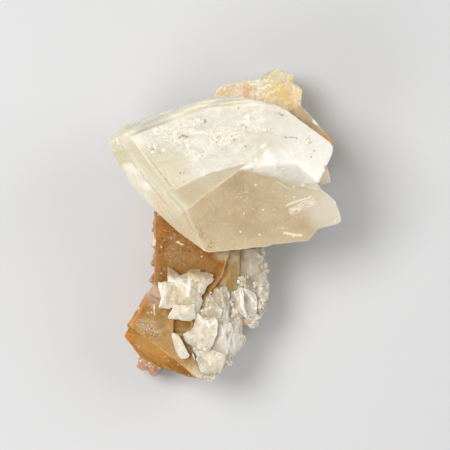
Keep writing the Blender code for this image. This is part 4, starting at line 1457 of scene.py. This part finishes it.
@dataclass(frozen=True)
class SmokyFinish:
    """Smoky grey-brown fluorite, glassy, with a golden rim, a pinkish tip and a white chip."""

    base: str = "AE976F"
    roughness: float = 0.2
    depth_of_light: float = 3.0

    def make(self) -> bpy.types.Material:
        """Builds the material.

        Returns:
            The material.
        """
        paint = Paint("smoky_fluorite")
        firm = paint.wobbly(1.6, 0.4)
        clouds = paint.noise((2.6, 1.2, 2.0), -50.0, detail=4.0, warp=0.8)
        fine = paint.noise(0.4, detail=5.0, roughness=0.7)
        high = (paint.z + clouds * 4.0).ease(8.0, 14.0)
        edges = paint.attribute("proud")
        colour = paint.layers(
            self.base,
            (clouds.ease(0.42, 0.66) * 0.7, "CDBC9A"),
            (clouds.ease(0.46, 0.32) * 0.4, "A58E68"),
            firm.spot(19, 26.4, 2.4, 1.4, -40, 1.2, 0.6, "D2C0A2"),
            firm.spot(23, 22.6, 1.6, 3, 30, 1.2, 0.6, "D2BC96"),
            firm.spot(21.8, 24.6, 1, 0.6, -30, 0.9, high * 0.95, "FFFDF8"),
            firm.spot(25.3, 20.2, 1.5, 2.8, 12, 1.1, high * 0.95, "E6961E"),
            firm.spot(24.4, 12.6, 3.4, 3.8, 0, 1, high * 0.95, "FFEEDA"),
            firm.spot(24.9, 14.8, 1, 2, 0, 1, high * 0.7, "E0984A"),
            # Painted highlight on the raised edges.
            (edges.ease(0.15, 0.8) * 0.5, "E2D4BA"),
        )
        paint.bump(fine, 0.06)
        roughness = fine * 0.2 + self.roughness - 0.08
        paint.stone(colour, roughness, (1.0, 0.8, 0.6), self.depth_of_light, FLUORITE_IOR)
        return paint.material


def thin_lines(blur: float, *ways: tuple) -> Several:
    """Thin lines that end equally softly, each along its own points in millimetres."""
    return Several(tuple(Streak(way, 0.1, blur) for way in ways))


# Painted highlights along the crests of the dolomite's saddles, and painted shade in the creases where one
# crystal meets the next.
DOLOMITE_PAINTED_HIGHLIGHTS = thin_lines(
    0.9,
    ((0.4, -13.2), (1, -17.7), (0.6, -22)),
    ((-1, -24), (0.8, -29.1)),
    ((1.2, -23.6), (2.3, -27.5), (1.8, -30.6)),
    ((3.3, -15.1), (4.9, -22), (8.2, -23.8)),
    ((4.9, -15.7), (8, -19.6), (8.4, -22)),
    ((-4.5, -22.4), (-3.9, -24.2), (-1.9, -22.7)),
    ((-6.5, -21.4), (-5.2, -23.4)),
    ((-13.4, -10.2), (-11.8, -11.8), (-10.2, -13)),
    ((-9, -10.8), (-8.5, -13.5), (-8.8, -16.9)),
    ((-15.5, -13.9), (-15.3, -19)),
)
DOLOMITE_PAINTED_CREASE_SHADE = thin_lines(
    0.4,
    ((0.8, -13.8), (1.4, -17.7), (1, -21.6)),
    ((2.2, -16.5), (2.4, -20.4), (4.8, -22.4)),
    ((3.4, -24.3), (3.8, -27.5)),
    ((-12.2, -13.5), (-11.3, -16.5), (-11.5, -18.8)),
    ((-11, -12.2), (-8.9, -13.5), (-8.8, -11.2)),
    ((-8.8, -13.5), (-6.5, -15.7), (-5.6, -17.1)),
    ((-15.4, -13.5), (-12.4, -13.7)),
    ((-11, -18.8), (-7.4, -19.3)),
)


@dataclass(frozen=True)
class DolomiteFinish:
    """Pearly dolomite: cream granular faces, greyish bodies that let light through, and painted highlights
    and shade.
    """

    base: str = "B6AB94"
    # Also the painted highlight on the crests.
    crest: str = "FDFBF6"
    body: str = "A99C84"
    # Painted light that brightens the narrow crevices.
    crevice: str = "EADDC4"
    # Painted shade for the creases between crystals.
    painted_joint_shade: str = "907F60"
    roughness: float = 0.40
    depth_of_light: float = 2.6

    def front_colour(self, paint: Paint, crumbs: Wire) -> bpy.types.NodeSocket:
        """The cluster on the column's front: white to the left, yellowish and granular to the right.

        Args:
            paint: the material's graph.
            crumbs: the dolomite's pattern of small blocks.

        Returns:
            The colour.
        """
        firm = paint.wobbly(0.9, 0.4)
        tan = crumbs.ease(0.25, 0.70)
        dotted = Several((Spot(-8, -12.6, 2.6, 2.4, 0, 0.8), Spot(-12.8, -17, 1.2, 3, -5, 0.8)))
        return paint.layers(
            "D6CCB6",
            firm.spot(-15, -16.4, 1.2, 3.4, 0, 0.9, 0.6, "D8D4C8"),
            firm.spot(-12.6, -17.1, 0.9, 2.6, -5, 0.9, tan * 0.9, "CBB382"),
            firm.spot(-11.8, -11.8, 2, 1.8, -40, 1, 0.6, "EFE6D2"),
            firm.spot(-8, -12.4, 2, 2, 0, 0.9, tan * 0.8, "CFB47C"),
            firm.spot(-5, -12.6, 2.2, 2, -30, 1, 0.6, "D3C6AC"),
            firm.spot(-9.6, -17, 2.4, 2.2, 0, 1, tan * 0.7, "D2BA88"),
            firm.spot(-10.2, -14, 2, 1.2, -12, 1.1, crumbs.ease(0.35, 0.6) * 0.8, self.crest),
            firm.spot(-9.8, -21.2, 3.4, 1.6, 0, 0.9, 0.7, "D8D1C0"),
            firm.spot(-10.8, -17.6, 1.2, 1.4, 0, 1, 0.5, "C4AE84"),
            firm.over(dotted, paint.grains(0.5, 0.3) * 0.8, "98763F"),
        )

    def side_colour(self, paint: Paint) -> bpy.types.NodeSocket:
        """The clusters beside and below, by the places of their larger crystals.

        Args:
            paint: the material's graph.

        Returns:
            The colour.
        """
        firm = paint.wobbly(1.2, 0.35)
        soft = paint.wobbly(2.4, 1.0)
        return paint.layers(
            self.base,
            firm.spot(-4.6, -19, 2.2, 3, 15, 1.1, 0.8, "A99878"),
            firm.spot(-0.6, -17, 1.6, 3.6, -6, 1.1, 0.7, "A6987E"),
            firm.spot(1.5, -20, 1, 2.6, 0, 1.1, 0.9, "927652"),
            soft.spot(2.6, -22.4, 1.6, 1.4, 0, 1.1, 0.6, "BCA283"),
            firm.spot(3.5, -18.6, 1.2, 2.8, -12, 1, 0.6, "BFBAAE"),
            firm.spot(6.2, -18.8, 1.6, 3, 0, 1, 0.7, "CCC7BA"),
            firm.spot(6, -23.4, 2.4, 0.7, -8, 1, 0.8, "CDA27C"),
            firm.spot(8.9, -10.4, 0.8, 1.3, 0, 0.9, 0.8, "B98E5C"),
            firm.spot(-6.6, -25, 2, 3, 12, 1, 0.6, "DED6C2"),
            firm.spot(-3.2, -26, 1.6, 3, -8, 1, 0.6, "D6D0C2"),
            firm.spot(2, -27.4, 2.6, 3.6, 0, 1, 0.8, "EDE8DE"),
            firm.spot(9.4, -15.6, 1.4, 2.8, 0, 1, 0.7, "E2DDCE"),
            firm.spot(-4.4, -33.2, 2.8, 3.2, 0, 1, 0.8, "C0B598"),
            firm.spot(-1.9, -32.2, 1.8, 2, 0, 1.1, 0.8, "ECE4D2"),
            firm.spot(-0.8, -23.4, 1.8, 3, 6, 1.1, 0.6, "DFD8C8"),
            firm.spot(-0.8, -25.4, 0.9, 3.4, 6, 1.1, 0.7, "EAE5D8"),
            firm.spot(-4.4, -36.2, 2.4, 1.6, 0, 1.1, 0.5, "D8CEBA"),
            # Painted shade around the dark hole in the right cluster.
            soft.spot(6.2, -14.2, 1.8, 0.9, -20, 1, 0.7, "8B7E66"),
            firm.spot(-10.8, -29, 2.6, 4.4, 0, 0.8, 0.8, "DCD4C2"),
        )

    def top_colour(self, paint: Paint) -> bpy.types.NodeSocket:
        """The clear crystals beside the calcite: khaki to the left and grey-white to the right.

        Args:
            paint: the material's graph.

        Returns:
            The colour.
        """
        firm = paint.wobbly(2.4, 0.6)
        stripes = paint.noise((0.8, 5.0, 2.0), 4.0).ease(0.35, 0.65)
        return paint.layers(
            paint.mix(stripes, "C0B59E", "D6D0C0"),
            firm.over(Side((4.8, -16), (4.8, -4), 3), 1.0, "A08A66"),
            # A grey-white patch, painted brighter to make up for the shadow that the calcite casts on it.
            firm.spot(7.2, -6.4, 3.2, 1.3, 0, 1.2, 0.8, "EAE4D4"),
            firm.spot(8.9, -10.4, 0.8, 1.3, 0, 0.9, 0.8, "B98E5C"),
        )

    def make(self) -> bpy.types.Material:
        """Builds the material.

        Returns:
            The material.
        """
        paint = Paint("white_dolomite")
        fine = paint.noise(0.3, detail=4.0, roughness=0.7)
        crumbs = paint.mosaic(0.42, 15.0)
        grown = paint.noise((0.35, 2.6, 2.0), 24.0, detail=3.0, warp=0.5)
        clouds = paint.noise(1.8, detail=4.0, warp=0.6)
        firm = paint.wobbly(0.9, 0.25)
        top = Corner((Side((2, -12.2), (14, -12.2), 2.4), Side((8, -17), (8, 0), 2)))
        cluster = Several((Spot(-9.6, -16.4, 6.6, 5.4, 0, 0.1), Spot(-10, -20.6, 4, 3, 0, 0.1)))
        front = Corner((cluster, Side((-4.6, -22), (-2.6, -8), 0.2)))
        edges = paint.attribute("proud")
        depth = paint.attribute("depth")
        line = fine.ease(0.44, 0.54) * 0.9
        hair = fine.ease(0.42, 0.52) * 0.8
        colour = paint.layers(
            self.side_colour(paint),
            firm.over(front, 1.0, self.front_colour(paint, crumbs)),
            (clouds.ease(0.44, 0.62) * 0.4, "E0D9CA"),
            (clouds.ease(0.46, 0.34) * 0.3, self.body),
            (grown.ease(0.50, 0.66) * 0.35, "EFEADF"),
            (crumbs.ease(0.80, 0.95) * 0.2, self.crest),
            # Painted light on the crystals' crests, and painted shade towards the crevices.
            (depth.ease(0.05, 0.6) * 0.5, "E6E0D2"),
            (depth.ease(0.0, -0.5) * 0.4, self.body),
            # Painted light in the narrow crevices.
            (edges.ease(-0.05, -0.5) * 0.8, self.crevice),
            # Painted highlight on the sharp crests.
            (paint.attribute("crest").ease(0.25, 0.75) * 0.95, self.crest),
            # Painted shade in the creases between crystals.
            firm.over(DOLOMITE_PAINTED_CREASE_SHADE, fine.ease(0.60, 0.45) * 0.65, self.painted_joint_shade),
            # Painted highlights along the saddle crests.
            firm.over(DOLOMITE_PAINTED_HIGHLIGHTS, fine.ease(0.38, 0.52) * 0.8, self.crest),
            firm.over(top, 0.85, self.top_colour(paint)),
            (paint.grains(0.5, 0.05) * 0.4, "AE9468"),
            # Painted shade around the dark hole in the right cluster.
            firm.spot(5.4, -13, 2.2, 1.8, -30, 1.2, 0.45, "7E735C"),
            firm.streak(((4, -14.2), (4.7, -13.1), (5.8, -12.8)), 0.22, 0.6, line, "4C4632"),
            firm.streak(((5.3, -15), (6.2, -15.4), (7.3, -16.3)), 0.10, 0.4, hair, "6F6650"),
        )
        paint.bump(fine * 0.5 + grown * 1.2 + paint.cells(0.42, 15.0, Metric.SQUARE) * 0.3, 0.10)
        roughness = fine * 0.25 + self.roughness - 0.1
        paint.stone(colour, roughness, (1.0, 0.86, 0.7), self.depth_of_light, DOLOMITE_IOR)
        return paint.material


@dataclass(frozen=True)
class PinkDolomiteFinish:
    """Pinkish, lumpy dolomite with white grains."""

    base: str = "B98E6C"
    roughness: float = 0.45
    depth_of_light: float = 1.0

    def make(self) -> bpy.types.Material:
        """Builds the material.

        Returns:
            The material.
        """
        paint = Paint("pink_dolomite")
        fine = paint.noise(0.4, detail=4.0, roughness=0.7)
        clouds = paint.noise(1.6, detail=4.0)
        crumbs = paint.mosaic(0.5)
        edges = paint.attribute("proud")
        colour = paint.layers(
            self.base,
            (clouds.ease(0.42, 0.64) * 0.7, "B17A5C"),
            (fine.ease(0.50, 0.62) * 0.3, "CDB496"),
            (crumbs.ease(0.78, 0.92) * 0.7, "F0E6D8"),
            # Painted highlight on the raised edges.
            (edges.ease(0.05, 0.6) * 0.4, "EFDDCA"),
            # Painted shade in the hollows.
            (edges.ease(-0.1, -0.8) * 0.4, "A8764E"),
        )
        paint.bump(fine * 0.8 + paint.cells(0.5) * 0.8, 0.16)
        paint.stone(colour, self.roughness, (1.0, 0.75, 0.55), self.depth_of_light, DOLOMITE_IOR)
        return paint.material


@dataclass(frozen=True)
class GrainFinish:
    """Small grains of one mineral, each a little different."""

    name: str
    light: str
    dark: str
    size: float = 1.0

    def make(self) -> bpy.types.Material:
        """Builds the material.

        Returns:
            The material.
        """
        paint = Paint(self.name)
        tone = paint.noise(self.size, detail=2.0).ease(0.40, 0.62)
        paint.set(Base_Color=paint.mix(tone, self.light, self.dark), Roughness=0.5, IOR=DOLOMITE_IOR)
        return paint.material


@dataclass
class Calcite:
    """The calcite crystal with the granular crust on its face."""

    cell: float = 0.30
    edge_wear: float = 0.3

    def relieve(self, skin: Skin) -> None:
        """Gives the crystal its steps, striations, worn edges and etched faces.

        Args:
            skin: its skin.
        """
        skin.wear_edges(0.9, self.edge_wear)
        for relief in (
            Relief(Grain.CLOUDS, 6.0, 0.3),
            Relief(Grain.CLOUDS, (6.0, 0.8, 0.8), 0.4, (0.0, 0.0, 20.8), UPPER_FACES),
            Relief(Grain.CLOUDS, (2.4, 0.3, 0.3), 0.16, (0.0, 0.0, 20.8), UPPER_FACES),
            Relief(Grain.CLOUDS, (7.0, 0.9, 1.0), 0.5, (0.0, 0.0, -51.0), LEFT_FACE),
            Relief(Grain.CLOUDS, 1.6, 0.14),
            Relief(Grain.CLOUDS, (3.0, 3.0, 0.8), 0.5, (12.0, 8.0, 0.0), None, 0.5, (-5.0, 17.0)),
        ):
            skin.relieve(relief)
        skin.soften(3)
        skin.soften(30, BAND)
        skin.soften(14, LEFT_EDGE)
        skin.relieve(Relief(Grain.CLOUDS, 0.6, 0.3, (0.0, 0.0, 20.0), CRUST))

    def build(self) -> list[bpy.types.Object]:
        """Makes the crystal and its crust.

        Returns:
            Every piece.
        """
        skin = Skin("calcite_crystal", "calcite_skin", self.cell)
        self.relieve(skin)
        piece = skin.finish(CalciteFinish().make(), "calcite")
        surface = Surface([piece])
        box = (-20.0, 12.0, 22.0, 26.6)
        pale = GrainFinish("crust_grains", "F6F2E6", "E0D5B8", 0.6).make()
        brown = GrainFinish("crust_specks", "B9976A", "8A683C", 0.7).make()
        crust = Scatter("calcite_crust", CRUST, box, 11000, (0.05, 0.24), 11, sunk=0.0, patch=0.7)
        specks = Scatter("calcite_specks", SPECKS, box, 230, (0.08, 0.24), 5, GrainShape.LUMP, 0.0)
        return [piece, crust.build(surface, pale, "calcite"), specks.build(surface, brown, "calcite")]


@dataclass
class Fluorite:
    """One group of fluorite crystals."""

    node: str
    slot: str
    finish: GoldenFinish | CreamFinish | SmokyFinish
    cell: float
    beside: tuple
    wear: float = 0.4
    etch: float = 0.18
    blocks: float = 0.0
    turn: tuple = (-8.0, 3.0, -29.0)  # how its small steps are turned

    def build(self) -> list[bpy.types.Object]:
        """Makes the group with worn edges and an etched, slightly blocky surface.

        Returns:
            Its one piece.
        """
        skin = Skin(self.node, self.node + "_skin", self.cell)
        skin.wear_edges(1.0, self.wear)
        skin.soften(3)
        skin.soften(14, WORN)
        skin.relieve(Relief(Grain.CLOUDS, 4.0, 0.5))
        skin.relieve(Relief(Grain.CLOUDS, 0.9, self.etch))
        steps = Relief(Grain.BLOCKS, (2.6, 2.6, 1.8), 0.7, self.turn, heights=(-5.0, 14.0))
        skin.relieve(steps, skin.steepness())
        if self.blocks:
            skin.relieve(Relief(Grain.BLOCKS, 1.3, self.blocks, self.turn))
        skin.meet(self.beside)
        return [skin.finish(self.finish.make(), self.slot)]


@dataclass
class Dolomite:
    """One group of dolomite crystals."""

    node: str
    slot: str
    material: bpy.types.Material
    cell: float
    beside: tuple = ("fluorite_column",)
    turn: tuple = (8.0, -6.0, 15.0)
    crumbs: bool = False

    def build(self) -> list[bpy.types.Object]:
        """Makes the group with the mosaic of small blocks that saddle-shaped crystals are built of.

        Returns:
            The skin, and the crumbs around it if it has any.
        """
        skin = Skin(self.node, self.node + "_skin", self.cell)
        # The material reads this to paint highlights on the sharp crests.
        skin.keep("crest", skin.edge_weights(6, 0.10))
        steep = skin.steepness()
        skin.relieve(Relief(Grain.CLOUDS, 2.4, 0.7))
        walls = Relief(Grain.BLOCKS, (3.0, 3.0, 2.2), 1.6, (20.0, -25.0, 15.0), heights=(-5.0, 9.0))
        skin.relieve(walls, steep)
        skin.soften(4)
        skin.soften(60, weights=-skin.edge_weights(16, 0.2))
        skin.relieve(Relief(Grain.CLOUDS, (0.5, 2.4, 1.2), 0.16, self.turn))
        skin.relieve(Relief(Grain.BLOCKS, (0.9, 0.7, 0.7), 0.07, self.turn))
        skin.meet(self.beside)
        # The material reads this to paint the crystals lighter on their crests and shaded towards the
        # crevices.
        skin.keep("depth", skin.edge_weights(45, 0.6))
        piece = skin.finish(self.material, self.slot, 60.0)
        return [piece] + (self.scatter_crumbs(piece) if self.crumbs else [])

    def scatter_crumbs(self, piece: bpy.types.Object) -> list[bpy.types.Object]:
        """Lays small crystals along the group's edge, in its crevices and in one open corner.

        Args:
            piece: the group's skin.

        Returns:
            One piece for each of the three.
        """
        surface = Surface([piece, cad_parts["fluorite_column"]])
        finish = GrainFinish("small_dolomite", "E4DDCD", "C2B59B", 1.4).make()
        box = (-8.0, -34.0, 11.0, -6.0)
        gap = Spot(3.8, -13.4, 0.6, 0.6, 0, 0.2)
        gap_box = (3.0, -14.2, 4.6, -12.6)
        kinds = (
            Scatter("dolomite_margin", MARGIN, box, 46, (0.8, 1.9), 23, sunk=-0.1, flat=0.4),
            Scatter("dolomite_crumbs", CREVICES, box, 40, (0.7, 1.5), 29, sunk=-0.15, flat=0.4, bridge=0.7),
            Scatter("dolomite_corner", gap, gap_box, 6, (1.0, 1.5), 31, sunk=-0.1, flat=0.4, bridge=0.9),
        )
        return [grains.build(surface, finish, self.slot) for grains in kinds]


@dataclass
class Studio:
    """The camera, the floor and the soft lights."""

    lens: float = 200.0
    sensor: float = 36.0
    view: float = 107.1  # the width of the picture, in millimetres
    view_height: float = 20.0  # the height where that width is true
    floor: float = 6.0  # the width of the floor, in metres
    floor_gap: float = 0.0001  # how far the floor is below the specimen, in metres
    surrounding: float = 0.34  # the strength of the even light

    def place_camera(self) -> None:
        """Looks straight down on the face."""
        camera = bpy.data.cameras.new("camera")
        camera.lens = self.lens
        camera.sensor_width = self.sensor
        camera.clip_start = 0.01
        obj = bpy.data.objects.new("camera", camera)
        distance = self.view / self.sensor * self.lens
        obj.location = to_frame(0.0, 0.0, distance + self.view_height)
        bpy.context.scene.collection.objects.link(obj)
        bpy.context.scene.camera = obj

    def lay_floor(self) -> None:
        """A wide pale floor."""
        bpy.ops.object.select_all(action="DESELECT")
        bpy.ops.mesh.primitive_plane_add(size=self.floor, location=(0.0, 0.0, -self.floor_gap))
        floor = bpy.context.object
        floor.name = "floor"
        paint = Paint("floor")
        paint.set(Base_Color="CDCED0", Roughness=0.8)
        floor.data.materials.append(paint.material)

    def add_light(self, name: str, place: tuple, size: float, power: float, colour: tuple) -> None:
        """Adds a round area light that points at the specimen.

        Args:
            name: its name.
            place: its middle, in metres.
            size: its width, in metres.
            power: its power, in watts.
            colour: its colour.
        """
        light = bpy.data.lights.new(name, "AREA")
        light.shape = "DISK"
        light.size = size
        light.energy = power
        light.color = colour
        obj = bpy.data.objects.new(name, light)
        obj.location = place
        obj.rotation_euler = Vector(place).to_track_quat("Z", "Y").to_euler()
        bpy.context.scene.collection.objects.link(obj)

    def light(self) -> None:
        """A large key light from the upper left, two weaker ones, and an even light from all around."""
        self.add_light("key", (-0.38, 0.18, 0.72), 0.45, 5.0, (1.0, 0.98, 0.95))
        self.add_light("fill", (-0.40, -0.52, 0.50), 0.50, 2.2, (1.0, 0.98, 0.96))
        self.add_light("rim", (0.62, 0.20, 0.46), 0.50, 1.9, (1.0, 0.98, 0.96))
        world = bpy.data.worlds.new("studio")
        world.use_nodes = True
        background = world.node_tree.nodes["Background"]
        background.inputs["Color"].default_value = (0.97, 0.97, 0.97, 1.0)
        background.inputs["Strength"].default_value = self.surrounding
        bpy.context.scene.world = world
        bpy.context.scene.view_settings.view_transform = "Standard"

    def build(self) -> None:
        """Sets up the whole studio."""
        self.place_camera()
        self.lay_floor()
        self.light()


def main() -> None:
    """Builds the studio and every piece, and reports each."""
    logging.basicConfig(level=logging.INFO, format="%(name)s: %(message)s")
    Studio().build()
    white = DolomiteFinish().make()
    calcite = ("calcite_crystal",)
    block = ("fluorite_upper_block",)
    beside = ("fluorite_column", "calcite_crystal", "dolomite_front_cluster")
    parts = [
        Calcite(),
        Fluorite("fluorite_column", "golden_fluorite", GoldenFinish(), 0.28, calcite, blocks=0.25),
        Fluorite("fluorite_upper_block", "cream_fluorite", CreamFinish(), 0.22, calcite, blocks=0.2),
        Fluorite("fluorite_smoky_cube", "smoky_fluorite", SmokyFinish(), 0.22, calcite + block, etch=0.1),
        Dolomite("dolomite_front_cluster", "white_dolomite", white, 0.14),
        Dolomite("dolomite_side_cluster", "white_dolomite", white, 0.174, beside, crumbs=True),
        Dolomite("dolomite_blade", "white_dolomite", white, 0.12),
        Dolomite("dolomite_foot", "pink_dolomite", PinkDolomiteFinish().make(), 0.14),
    ]
    for part in parts:
        for piece in part.build():
            log.info("%s: %d faces", piece.name, len(piece.data.polygons))


if __name__ == "__main__":
    main()
